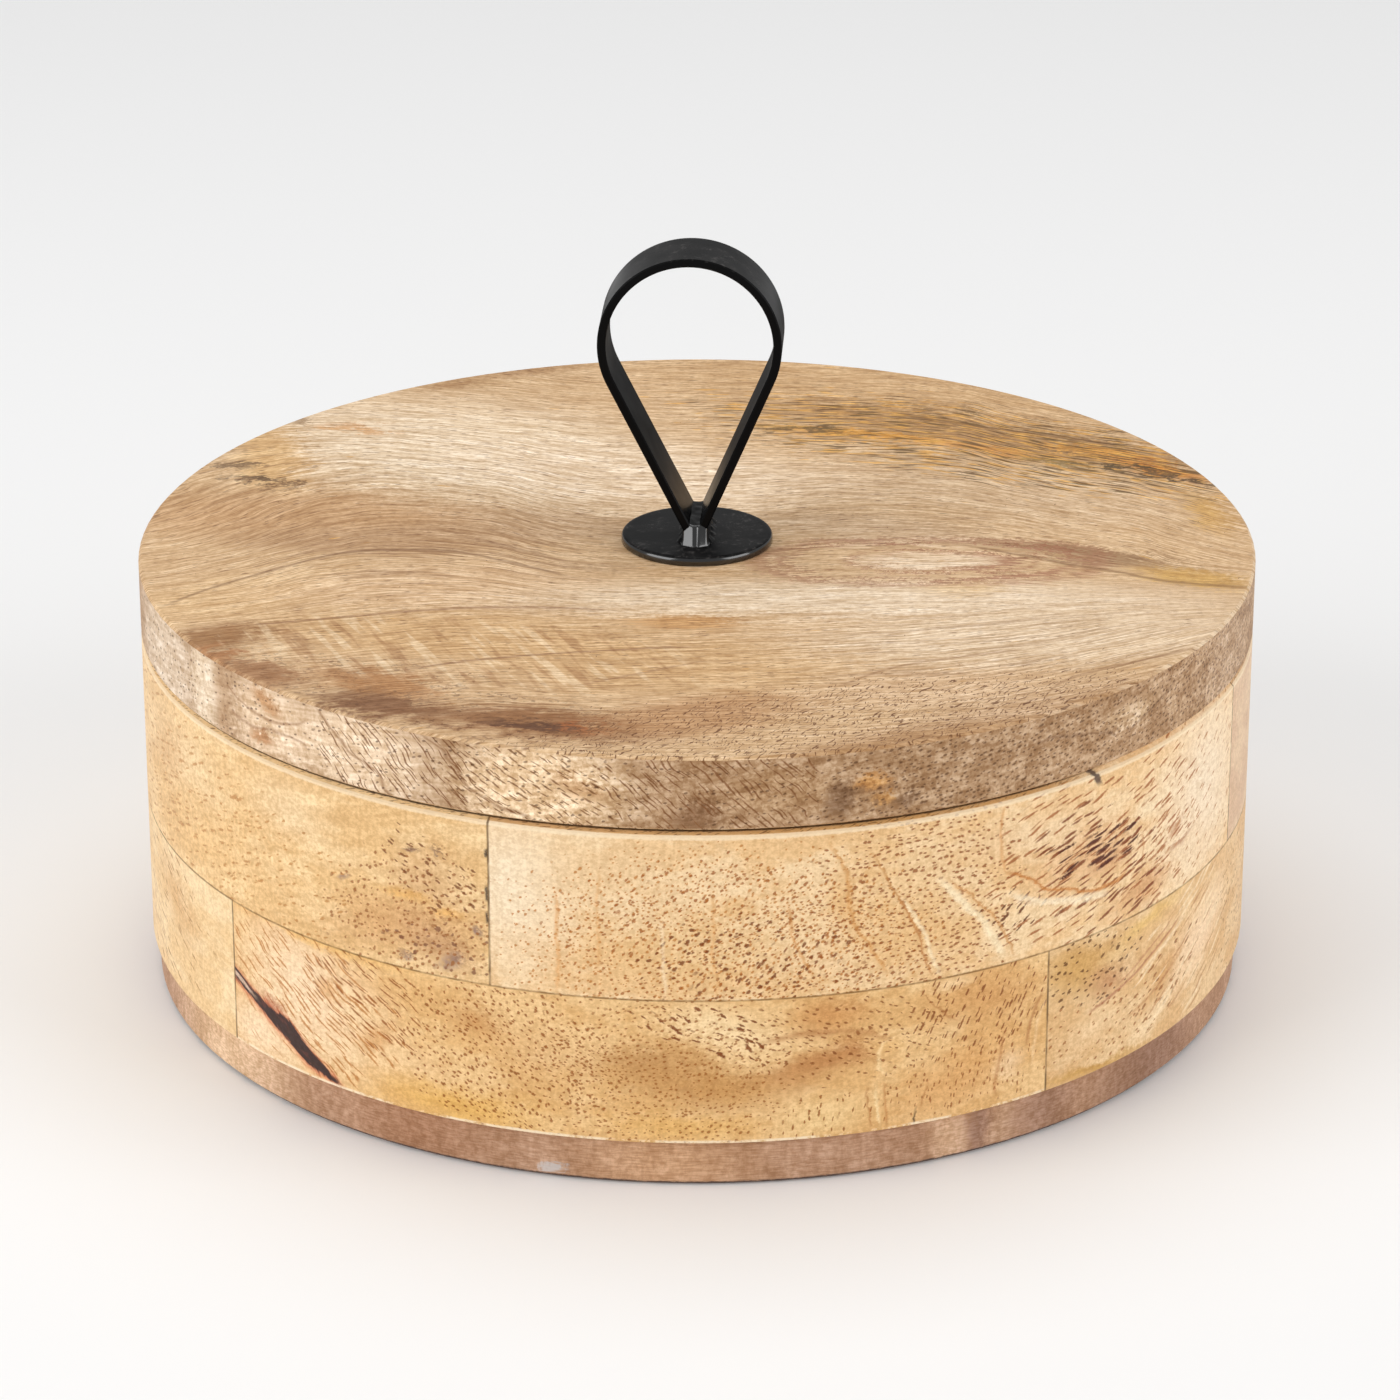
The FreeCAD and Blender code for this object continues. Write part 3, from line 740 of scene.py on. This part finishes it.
LOWER_FRONT_MARKS = [
    (((-42, 36), (15, 28), -14), (7.5, 1.6), (8.5, 0.8), 1.0, -33, 0xc08040, 0.85),
    (((-34, 40), (10, 18), -14), (5.2, 1.6), (5.8, 0.72), 0.95, -32, 0x9c5820, 0.85),
    (((-19, 34), (14, 30), 0), (1.8, 1.4), (1.3, 0.8), 0.95, -35, 0x924e12, 0.8),
    (((-3, 32), (15, 30), 0), (1.5, 1.2), (1.0, 0.7), 0.85, 12, 0x9a561a, 0.75),
    (((0, 45), (10, 9), -14), (3.8, 2.2), (3.2, 0.9), 0.9, -27, 0x7e3e14, 0.9),
    (((14, 40), (14, 16), 0), (2.2, 1.5), (1.6, 0.7), 0.75, -24, 0x884a1c, 0.8),
    (((12.5, 19), (8, 8), 0), (2.2, 2.4), (1.8, 0.7), 0.8, 84, 0x9a5a20, 0.85),
    (((29, 42), (11, 16), 0), (3.0, 1.5), (2.8, 0.7), 0.85, 62, 0x884a20, 0.85),
    (((27, 24), (12, 12), 0), (2.2, 1.7), (1.6, 0.7), 0.7, 80, 0x9a5a28, 0.8),
]

LOWER_FRONT_LINES = [
    (0xb4743c, [(16.6, 25), (16.9, 14)], 0.6, 0.6),
    (0xbe8046, [(18.4, 26), (18.6, 14)], 0.7, 0.6),
    (0xfadeaa, [(17.5, 25), (17.8, 14)], 0.8, 0.6),
    (0xfadaa4, [(18.8, 28), (17.8, 33), (19.6, 39)], 1.0, 0.6),
    (0xac703e, [(7, 41.5), (11, 42.4), (15, 41.2), (19, 38.5)], 1.4, 0.5),
    (0xb07440, [(22, 50), (23.6, 44), (26, 40)], 0.8, 0.55),
    (0xa86c3e, [(35.8, 41), (34.5, 34), (34, 28)], 1.0, 0.65),
    (0xf6d2a0, [(36.1, 38), (35.2, 32), (34.8, 22)], 0.9, 0.6),
    (0xba7c48, [(31.3, 33), (30.8, 24), (30.4, 16)], 0.8, 0.55),
    (0xb47640, [(23.0, 24), (22.4, 18)], 0.6, 0.6),
    (0x3c281a, [(21.8, 16.8), (21.6, 12.9)], 0.6, 0.95),
]


def lower_front():
    """The lower course's front piece: a black streak on the left, pale wood, a brown cloud and swirls, and a
    pale line of painted highlight along its lower edge.
    """
    wall = Wall("lower_segment_1", -8.4, 0xe0b276, 0xecc48c, seed=2.0)
    graph = wall.graph
    wall.zones(LOWER_FRONT_ZONES)
    wall.marks(LOWER_FRONT_MARKS)
    wall.lines(LOWER_FRONT_LINES)
    black_streak(wall)
    wall.grain(0.13)
    # Painted highlight: a pale thin line along the lower edge, broken into patches.
    edge = graph.step(BASE_TOP + 0.9, BASE_TOP + 0.5, wall.height + wall.ragged * 0.4)
    highlight_patches = graph.step(0.4, 0.6, wall.patches + wall.ragged * 0.3)
    wall.paint.over(0xfceacc, edge * highlight_patches, 0.8)
    wall.finish(-53.4, 36.6)


# The streak's course: its middle height and its half height, by degrees
STREAK_MIDDLE = [(-53.1, 31.6), (-50.4, 29.0), (-48.2, 26.4), (-46.4, 24.6), (-44.9, 23.8), (-42.7, 19.7),
                 (-40.4, 16.8), (-37.8, 13.8)]
STREAK_HALF = [(-53.1, 1.2), (-50.4, 1.2), (-48.2, 1.5), (-46.4, 1.9), (-44.9, 2.9), (-42.7, 2.3),
               (-40.4, 1.6), (-37.8, 0.2)]
STREAK_RISE = -33


def black_streak(wall):
    """The black mineral streak at the left end, in a reddish halo and split at its start by a pale line."""
    graph, paint = wall.graph, wall.paint
    arc = wall.arc / ARC_PER_DEGREE
    ragged = graph.noise(wall.wavy, (7, 1.2), STREAK_RISE, 40.0, detail=3, roughness=0.7) - 0.5
    below = graph.curve(arc, STREAK_MIDDLE) - wall.height + ragged * 3.4
    half = graph.curve(arc, STREAK_HALF)
    outside = abs(below) - half
    ends = graph.step(-36.5, -38.5, arc)
    blush = graph.step(3.6, 0.4, below - half) * graph.step(-2.0, -1.0, below)
    paint.over(0xecac7e, blush * ends, 0.6)
    cloud = graph.ellipse(wall.place, (-47, 28.5), (4, 4.5), -30, unit=ARC_PER_DEGREE)
    paint.over(0xb06248, cloud, 0.7)
    paint.over(0xc46846, graph.step(1.8, 0.1, outside) * ends, 0.75)
    inside = graph.step(0.6, -0.2, outside) * ends
    paint.over(0x2e282a, inside, 0.95)
    blotches = graph.step(0.56, 0.66, graph.noise(wall.wavy, (5, 2.4), STREAK_RISE, 41.0, detail=2))
    paint.over(0x683c34, inside * blotches, 0.55)
    split = graph.step(0.75, 0.3, abs(below - 0.1))
    paint.over(0xd6b8a0, split * graph.step(-49.0, -51.5, arc), 0.9)


UPPER_LEFT_ZONES = [
    (0xf4d6a8, (-66, 84), (18, 16), 0, 0.8),
    (0xeac086, (-56, 64), (12, 12), 10, 0.7),
    (0xf4d6aa, (-44, 86), (9, 13), 0, 0.7),
    (0xd8a872, (-30, 64), (14, 11), 12, 0.9),
    (0xd6aa78, (-27, 79), (6, 14), 20, 0.8),
    (0xbc8c62, (-25.5, 61), (6, 8), -20, 0.7),
    (0xe4ae60, (-29, 73), (4.5, 3), 0, 0.7),
    (0xe2aa5c, (-24.5, 70), (3, 2.5), 0, 0.7),
    (0x907064, (-36.6, 72.4), (1.6, 1.6), 20, 0.8),
    (0x8c6c62, (-29.5, 56.4), (1.4, 1.8), 0, 0.8),
    (0x866862, (-24.8, 57.8), (1.8, 3.2), 10, 0.75),
    (0x7e605c, (-21.8, 66.5), (1.1, 2.2), 0, 0.85),
    (0x805e50, (-28.4, 86), (1.2, 1.0), 20, 0.85),
    (0x84624e, (-25.6, 86.4), (1.2, 1.2), -30, 0.8),
]

UPPER_LEFT_MARKS = [
    (((-60, 72), (18, 32), 0), (5.0, 2.5), (3.8, 0.9), 0.7, 17, 0xc68e54, 0.8),
    (((-46, 66), (14, 24), 0), (3.2, 2.1), (2.2, 0.8), 0.65, 22, 0xc48a4c, 0.8),
    (((-29, 66), (13, 24), 10), (1.9, 1.6), (1.3, 1.0), 0.85, 30, 0x9e6232, 0.8),
    (((-26, 80), (8, 11), -30), (3.2, 1.9), (2.2, 0.9), 0.8, -30, 0x7e4824, 0.85),
    (((-26, 60), (10, 9), 0), (3.0, 2.4), (1.8, 1.4), 0.7, 20, 0x84543c, 0.8),
]

LOWER_RIGHT_ZONES = [
    (0xd0a260, (41, 44), (9, 12), -10, 0.95),
    (0xc48e62, (45, 38), (5, 7), 0, 0.8),
    (0xe6be74, (52, 49), (9, 5), 12, 0.8),
    (0xf0cea0, (43, 25), (7, 7), 12, 0.9),
    (0xf6d6b0, (62, 34), (12, 14), 24, 0.9),
    (0xd4a268, (54, 30), (7, 5), 26, 0.9),
    (0xf6d8ac, (52, 20), (8, 4), 22, 0.8),
    (0xcc9c4e, (43, 13.6), (12, 2.6), 0, 0.8),
]

LOWER_RIGHT_MARKS = [
    (((42, 43), (10, 14), 0), (2.6, 2.1), (1.9, 1.0), 0.85, 14, 0x623814, 0.85),
    (((46, 26), (14, 14), 0), (2.4, 1.9), (1.6, 0.8), 0.6, 22, 0xa66634, 0.8),
    (((55, 30), (10, 14), 20), (4.0, 2.4), (3.0, 1.1), 0.7, 26, 0x965c2a, 0.8),
    (((60, 36), (14, 26), 20), (16.0, 2.8), (17.0, 1.4), 0.9, 25, 0xf8deb6, 0.7),
    (((62, 30), (14, 26), 20), (14.0, 3.0), (14.0, 1.0), 0.7, 25, 0xba8050, 0.6),
]

LOWER_RIGHT_LINES = [
    (0xb07050, [(42.5, 31), (47, 33.8), (52, 38.2), (57, 44)], 0.8, 0.75),
    (0xb87854, [(46.5, 35), (51, 39.6), (55.5, 45)], 0.7, 0.6),
    (0xfae0b8, [(50, 34.5), (54, 38.5), (58, 43)], 1.3, 0.7),
    (0xc48c5c, [(48, 24), (53, 28), (58, 34)], 0.8, 0.5),
]

# Pieces that don't show from the front: name, middle, two colours of the ground, colour and rise of the pores
BACK_PIECES = [
    ("upper_segment_2", 114.8, 0xd8b492, 0xe4c4a0, 0xa47252, 12),
    ("upper_segment_3", -155.2, 0xe4ba84, 0xeecc9a, 0x9c6a3e, -14),
    ("lower_segment_4", -98.4, 0xecc894, 0xf4d6a8, 0xb2804e, -24),
    ("lower_segment_3", 171.6, 0xdeb27a, 0xeac490, 0x96643a, 9),
]


def side_pieces():
    """The side pieces that show a little, and the back pieces, each from its own board."""
    wall = Wall("upper_segment_4", -65.2, 0xe5bc84, 0xefcb97, seed=3.0)
    wall.zones(UPPER_LEFT_ZONES)
    wall.marks(UPPER_LEFT_MARKS)
    wall.paint.grain(wall.graph.noise(wall.wavy, (16, 1.8), 15, 4.4), 0.32, 0.68, 0.07)
    back_figure(wall, -100, 12, 0xc48e58)
    wall.grain(0.14)
    # The rim: its pale line is painted highlight, its bevel colour partly painted shade under the lid, its
    # dark line painted shadow.
    wall.rim(0xecca96, 0.5, -110, -20)
    wall.lines([
        (0x3a322e, [(-20.4, 89.5), (-20.4, 87.5)], 0.8, 0.95),
        (0x3a322e, [(-20.4, 79.5), (-20.4, 75.5)], 0.8, 0.9),
        (0x3a322e, [(-20.4, 72.5), (-20.4, 69.5)], 0.7, 0.9),
    ], wobble=0.0, fade=1.0)
    wall.finish(-110.2, -20.2)

    wall = Wall("lower_segment_2", 81.6, 0xdfb580, 0xebc898, seed=8.0)
    wall.zones(LOWER_RIGHT_ZONES)
    wall.marks(LOWER_RIGHT_MARKS)
    wall.lines(LOWER_RIGHT_LINES)
    back_figure(wall, 102, 14, 0xa47040)
    wall.grain()
    wall.finish(36.6, 126.6)

    for number, (name, centre, colour, patch, pore, rise) in enumerate(BACK_PIECES):
        wall = Wall(name, centre, colour, patch, seed=12.0 + number * 5)
        back_figure(wall, centre, rise, pore)
        wall.grain()
        if name.startswith("upper"):
            # The rim: its pale line is painted highlight, its bevel colour partly painted shade under the
            # lid, its dark line painted shadow.
            wall.rim(0xd6a66c, 0.6)
        wall.finish(centre - 45, centre + 45)


def back_figure(wall, middle, rise, pore):
    """The figure of a piece away from the front: soft zones, dots on one side and strokes on the other."""
    z = (wall.low + wall.high) / 2
    wall.zones([
        (0xce9c66, (middle - 12, z + 8), (16, 9), rise, 0.7),
        (0xf6d8ae, (middle + 14, z - 6), (18, 10), rise, 0.7),
        (0xd2a26a, (middle + 32, z + 6), (10, 14), rise, 0.6),
    ])
    wall.marks([
        (((middle - 18, z), (22, 34), 0), (2.1, 1.7), (1.5, 0.9), 0.75, rise, pore, 0.75),
        (((middle + 20, z), (24, 34), 0), (6.0, 2.0), (5.4, 0.9), 0.75, rise, pore, 0.8),
    ])
    wall.lines([
        (0xc68c54, [(middle - 4, z - 22), (middle - 1, z - 4), (middle + 4, z + 22)], 0.9, 0.5),
        (0xfae0b8, [(middle - 1, z - 22), (middle + 2, z - 4), (middle + 7, z + 22)], 1.4, 0.5),
    ])


BASE_ZONES = [
    (0xe8c49e, (-57, 7), (17, 34), 0, 0.95),
    (0xb08161, (-29, 7), (12, 30), 0, 0.8),
    (0xcc9f77, (-3, 7), (14, 30), 0, 0.8),
    (0xdab390, (25.5, 7), (3.6, 20), 0, 0.9),
    (0x96705c, (29, 7), (2, 20), 0, 0.8),
    (0xcca686, (32, 7), (2.4, 20), 0, 0.7),
    (0x98725e, (37, 7), (6, 20), 0, 0.6),
    (0x98725c, (54, 7), (14, 30), 0, 0.9),
]

# An arc that no zone reaches: the flat faces of the base are moved there, so only its edge has zones
OUT_OF_REACH = 2000


def base_wood():
    """The base board: brown, with straight fibres from left to right and a smoky mottling, with painted
    shadow along its bottom and painted shade along its top.
    """
    graph = Graph("base_wood")
    point = graph.point()
    x, y, z = graph.parts(point)
    side = graph.step(0.97, 0.9, abs(graph.upward()))
    arc = graph.math("ARCTAN2", x, -y) * RADIUS
    wander = graph.noise(point, (30, 30, 20)) - 0.5
    along = graph.vector(x, y + wander * 6, z + wander * 2)
    fibres = graph.noise(along, (4.5, 1.4, 0.45), seed=1.0, detail=3)
    mottle = graph.noise(point, (1.8, 1.8, 2.6), seed=2.0, detail=4, roughness=0.72)
    smoke = graph.noise(point, (14, 14, 30), seed=3.0, detail=3, roughness=0.6)
    paint = Paint(graph, 0xba9173)
    place = graph.vector(arc + wander * 8 + (mottle - 0.5) * 6 + (1.0 - side) * OUT_OF_REACH, z)
    paint.zones(place, BASE_ZONES, ARC_PER_DEGREE)
    paint.grain(smoke, 0.36, 0.64, 0.13)
    paint.grain(mottle, 0.36, 0.64, 0.15)
    paint.grain(fibres, 0.34, 0.66, 0.15)
    ragged = graph.vector(arc + (mottle - 0.5) * 12, z + (fibres - 0.5) * 4)
    chip = graph.ellipse(ragged, (-14.3, 2.7), (1.8, 2.2), 8, 0.3, ARC_PER_DEGREE)
    paint.over(0xcecac8, chip * side, 0.75)
    rise = z + (mottle - 0.5) * 2.4
    # Painted shadow: a dark ragged line along the bottom, where the base meets the floor.
    paint.over(0x42383c, graph.step(1.1, 0.4, rise) * side, 0.8)
    # Painted shade: darker along the top of the base, under the overhang of the lower course.
    paint.over(0x6c4836, graph.step(BASE_TOP - 1.0, BASE_TOP - 0.2, rise) * side, 0.7)
    return paint.finish(0.6, fibres, depth=0.12, specular=0.3)


def black_gloss():
    """The same black where it has run together, on the welds and the plate's rounded edge: wet-looking."""
    graph = Graph("black_gloss")
    paint = Paint(graph, 0x050506)
    return paint.finish(0.06 + graph.noise(graph.point(), (3, 3, 3), seed=1.0) * 0.12, specular=1.0)


# Heights of two parts of the loop: where each starts, is fully reached, is last fully reached, and ends
FORK_HEIGHTS = (120.8, 121.4, 150, 170)
BOW_HEIGHTS = (128, 150, 178, 192)


def black_steel():
    """Satin black powder coat with a faint orange peel, and a little dust on what faces up."""
    graph = Graph("black_powder_coat")
    point = graph.point()
    paint = Paint(graph, 0x09090a)
    dust = graph.noise(point, (1.6, 1.6, 1.6), detail=3, roughness=0.75)
    smear = graph.noise(point, (9, 6, 9), seed=2.0, detail=2)
    z = graph.parts(point)[2]
    lying = graph.step(0.5, 0.95, graph.upward()) * (1.0 - graph.band(z, *FORK_HEIGHTS))
    dusty = graph.step(0.52, 0.7, dust) * graph.step(0.42, 0.6, smear)
    paint.over(0x686462, dusty * lying, 0.45)
    paint.over(0x282626, graph.step(0.4, 0.7, smear) * lying, 0.35)
    peel = graph.noise(point, (0.7, 0.7, 0.7))
    roughness = 0.22 + graph.noise(point, (8, 8, 8), seed=1.0) * 0.14 + graph.band(z, *BOW_HEIGHTS) * 0.3
    return paint.finish(roughness, peel, depth=0.016, specular=0.06)


def plated_steel():
    """Zinc plate with faint turning marks."""
    graph = Graph("plated_steel")
    paint = Paint(graph, 0xb0b0aa)
    marks = graph.noise(graph.point(), (2.5, 2.5, 0.25))
    paint.grain(marks, 0.3, 0.7, 0.1)
    return paint.finish(0.22 + marks * 0.2, marks, depth=0.03, metallic=0.9)


def floor_white():
    """The pale floor: plain and even."""
    return Paint(Graph("floor_white"), 0xf0f0f0).finish(0.75, specular=0.2)


# Pieces of the handle whose rounded shape is made here, in millimetres

# The profile of the plate's edge: how far out from its radius, and how high over its underside
PLATE_EDGE = [(-0.3, 0.0), (0.0, 0.3), (0.0, 1.3), (-0.1, 1.75), (-0.32, 2.1), (-0.65, 2.3), (-1.1, 2.38),
              (-1.7, 2.4)]
PLATE_GLOSS_RINGS = 4
PLATE_STEPS = 160

WELD_TURN = -3.0
WELD_HEIGHT = 5.2
FEET_HALF_WIDTH = 3.45
FEET_HALF_DEPTH = 9.3
# The weld's slanted front: its run, its crest (middle, reach and slope), the groove down it and the dip along
# its crest (depth and width), and how far back over the feet its gloss goes
FRONT_RUN = 2.2
FRONT_CREST = (0.25, 0.9, 0.5)
FRONT_GROOVE = (0.55, 0.5)
FRONT_DIP = (0.04, 0.12)
FRONT_GLOSS = 0.3
# The beads along the outer sides of the feet
BEAD_REACH = 5.2
BEAD_HEIGHT = 1.8
# The weld's mesh: the size of a cell, the cells from the middle out along x and y, how far the upper sheet is
# sunk so that it starts inside the plate, and how deep the lower sheet lies in it
WELD_GRID = 0.19
WELD_CELLS = (32, 64)
WELD_SINK = 0.04
WELD_ROOT = 0.3


def add_object(name, data):
    added = bpy.data.objects.new(name, data)
    bpy.context.scene.collection.objects.link(added)
    return added


def add_part(name, points, faces, slots, smooth, replaced, materials):
    """A mesh, given in millimetres, that rides on the lid and takes the place of plainer nodes.

    The slots say which material each face has, and as many faces as smooth says, the first ones, are smooth.
    """
    mesh = bpy.data.meshes.new(name)
    mesh.from_pydata([(x * MM, y * MM, z * MM) for x, y, z in points], [], faces)
    for material in materials:
        mesh.materials.append(material)
    mesh.polygons.foreach_set("use_smooth", [n < smooth for n in range(len(faces))])
    mesh.polygons.foreach_set("material_index", slots)
    mesh.update()
    part = add_object(name, mesh)
    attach(part, "lid")
    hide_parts(*replaced)


def add_plate(satin, gloss):
    """The handle plate with its edge rounded by the thick paint."""
    low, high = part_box("handle_plate")
    radius, bottom = high.x / MM, low.z / MM
    steps, rings = PLATE_STEPS, len(PLATE_EDGE)
    points, faces, slots = [], [], []
    for inset, rise in PLATE_EDGE:
        for n in range(steps):
            angle = 2 * math.pi * n / steps
            reach = radius + inset
            points.append((reach * math.cos(angle), reach * math.sin(angle), bottom + rise))
    for ring in range(rings - 1):
        lower, upper = ring * steps, (ring + 1) * steps
        for n in range(steps):
            m = (n + 1) % steps
            faces.append((lower + n, lower + m, upper + m, upper + n))
            slots.append(1 if ring < PLATE_GLOSS_RINGS else 0)
    faces.append(tuple(range((rings - 1) * steps, rings * steps)))
    faces.append(tuple(reversed(range(steps))))
    slots += [0, 0]
    add_part("painted_plate", points, faces, slots, len(faces) - 1, ["handle_plate"], [satin, gloss])


def held(value):
    """A value held between 0 and 1."""
    return min(max(value, 0.0), 1.0)


def ease(value):
    """A smooth rise from 0 to 1 as the value goes from 0 to 1."""
    value = held(value)
    return value * value * (3 - 2 * value)


def bell(value, width):
    """A bell: 1 at 0, and little beyond the width."""
    return math.exp(-(value / width) ** 2)


def weld_height(x, y):
    """The height of the weld over the plate: lumpy, steep in front of the feet, hollow between the legs."""
    lumps = noise.noise(Vector((x * 0.5, y * 0.35, 0.0)))
    middle, crest, slope = FRONT_CREST
    groove, groove_width = FRONT_GROOVE
    dip, dip_width = FRONT_DIP
    front = FEET_HALF_DEPTH + crest - slope * abs(x - middle) - groove * bell(x - middle, groove_width)
    beyond = (abs(y) - front) / FRONT_RUN
    end = max(held(1.0 - beyond) - dip * bell(beyond, dip_width), 0.0)
    side = ease((FEET_HALF_WIDTH + 0.4 - abs(x)) / 0.9)
    core = (WELD_HEIGHT + 0.12 * min(x * x, 9.0) + lumps * 0.2) * end * side
    bead = ease((BEAD_REACH + lumps * 0.7 - abs(x)) / 2.4) * ease((FEET_HALF_DEPTH - abs(y)) / 1.4)
    return max(core, BEAD_HEIGHT * bead * (1 + 0.12 * math.sin(y * 1.9)))


def add_weld(satin, gloss):
    """The lumpy weld round both feet of the loop, from inside the plate up into the fork of the legs.

    It is one closed mesh: an upper sheet with the weld's height, a flat lower sheet, a skirt between them.
    """
    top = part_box("handle_plate")[1].z / MM
    c, s = math.cos(math.radians(WELD_TURN)), math.sin(math.radians(WELD_TURN))
    xs, ys = ([WELD_GRID * n for n in range(-cells, cells + 1)] for cells in WELD_CELLS)
    heights = [[weld_height(x, y) for x in xs] for y in ys]
    rings = []
    for row in range(len(ys) - 1):
        for column in range(len(xs) - 1):
            ring = [(row, column), (row, column + 1), (row + 1, column + 1), (row + 1, column)]
            if any(heights[r][k] > 0.0 for r, k in ring):
                rings.append(ring)
    numbers, points = {}, []

    def corner(row, column, upper):
        """The number of a point on the upper or the lower sheet, which it adds when first asked for."""
        key = (row, column, upper)
        if key not in numbers:
            numbers[key] = len(points)
            x, y = xs[column], ys[row]
            z = top + (heights[row][column] - WELD_SINK if upper else -WELD_ROOT)
            points.append((x * c - y * s, x * s + y * c, z))
        return numbers[key]

    faces = [tuple(corner(*place, True) for place in ring) for ring in rings]
    slots = [1 if abs(ys[ring[0][0]]) > FEET_HALF_DEPTH - FRONT_GLOSS else 0 for ring in rings]
    smooth = len(faces)
    faces += [tuple(corner(*place, False) for place in reversed(ring)) for ring in rings]
    edges = {(ring[n], ring[(n + 1) % 4]) for ring in rings for n in range(4)}
    for first, second in sorted(edges):
        if (second, first) not in edges:
            upper = (corner(*second, True), corner(*first, True))
            faces.append((*upper, corner(*first, False), corner(*second, False)))
    slots += [0] * (len(faces) - smooth)
    replaced = ["right_weld", "left_weld", "middle_weld"]
    add_part("lumpy_weld", points, faces, slots, smooth, replaced, [satin, gloss])


# The photograph's camera, in metres: fitted to the ellipses of the lid, the glue lines and the base
FOCAL_PIXELS = 5480
SENSOR_WIDTH = 36.0
CAMERA_PLACE = (0.0008, -1.3815, 0.6442)
CAMERA_TARGET = (0.0008, 0.0, 0.0714)

FLOOR_HALF = 6.0
FLOOR_HEIGHT = -0.0002
SURROUND_STRENGTH = 0.46
LAMP_TARGET = (0, 0, 0.1)
# Lamps: name, place, size and power
LAMPS = [
    ("left_lamp", (-1.9, -1.1, 1.1), (1.8, 1.8), 30.0),
    ("right_lamp", (1.9, -0.9, 1.0), (1.6, 1.6), 22.0),
    ("top_lamp", (-0.1, 0.5, 2.2), (2.2, 1.6), 19.0),
]


def point_at(thing, place, target):
    """Puts a camera or a lamp in its place and points it at the target."""
    thing.location = place
    thing.rotation_euler = (Vector(target) - Vector(place)).to_track_quat("-Z", "Y").to_euler()


def add_camera():
    data = bpy.data.cameras.new("camera")
    data.sensor_width = SENSOR_WIDTH
    data.lens = FOCAL_PIXELS / PHOTO_WIDTH * SENSOR_WIDTH
    data.clip_start = 0.01
    camera = add_object("camera", data)
    point_at(camera, CAMERA_PLACE, CAMERA_TARGET)
    bpy.context.scene.camera = camera


def add_lamp(name, place, size, power):
    data = bpy.data.lights.new(name, "AREA")
    data.shape = "RECTANGLE"
    data.size, data.size_y = size
    data.energy = power
    point_at(add_object(name, data), place, LAMP_TARGET)


def add_stage():
    """A pale floor under the object, a soft white surround, and large soft lamps on both sides and above."""
    corners = [(x * FLOOR_HALF, y * FLOOR_HALF, 0) for x, y in ((-1, -1), (1, -1), (1, 1), (-1, 1))]
    mesh = bpy.data.meshes.new("floor")
    mesh.from_pydata(corners, [], [(0, 1, 2, 3)])
    mesh.materials.append(floor_white())
    floor = add_object("floor", mesh)
    floor.location.z = FLOOR_HEIGHT

    world = bpy.data.worlds.new("surround")
    bpy.context.scene.world = world
    world.use_nodes = True
    background = world.node_tree.nodes["Background"]
    background.inputs["Color"].default_value = (1.0, 1.0, 1.0, 1.0)
    background.inputs["Strength"].default_value = SURROUND_STRENGTH
    for lamp in LAMPS:
        add_lamp(*lamp)


def main():
    bpy.context.scene.view_settings.view_transform = "Standard"
    upper_front()
    lower_front()
    side_pieces()
    dress(["lid_board"], lid_wood())
    dress(["base_board"], base_wood())
    satin, gloss = black_steel(), black_gloss()
    dress(["handle_plate", "handle_loop"], satin)
    dress(["right_weld", "left_weld", "middle_weld"], gloss)
    add_plate(satin, gloss)
    add_weld(satin, gloss)
    dress(["handle_stud", "handle_washer", "handle_nut"], plated_steel())
    add_camera()
    add_stage()


main()
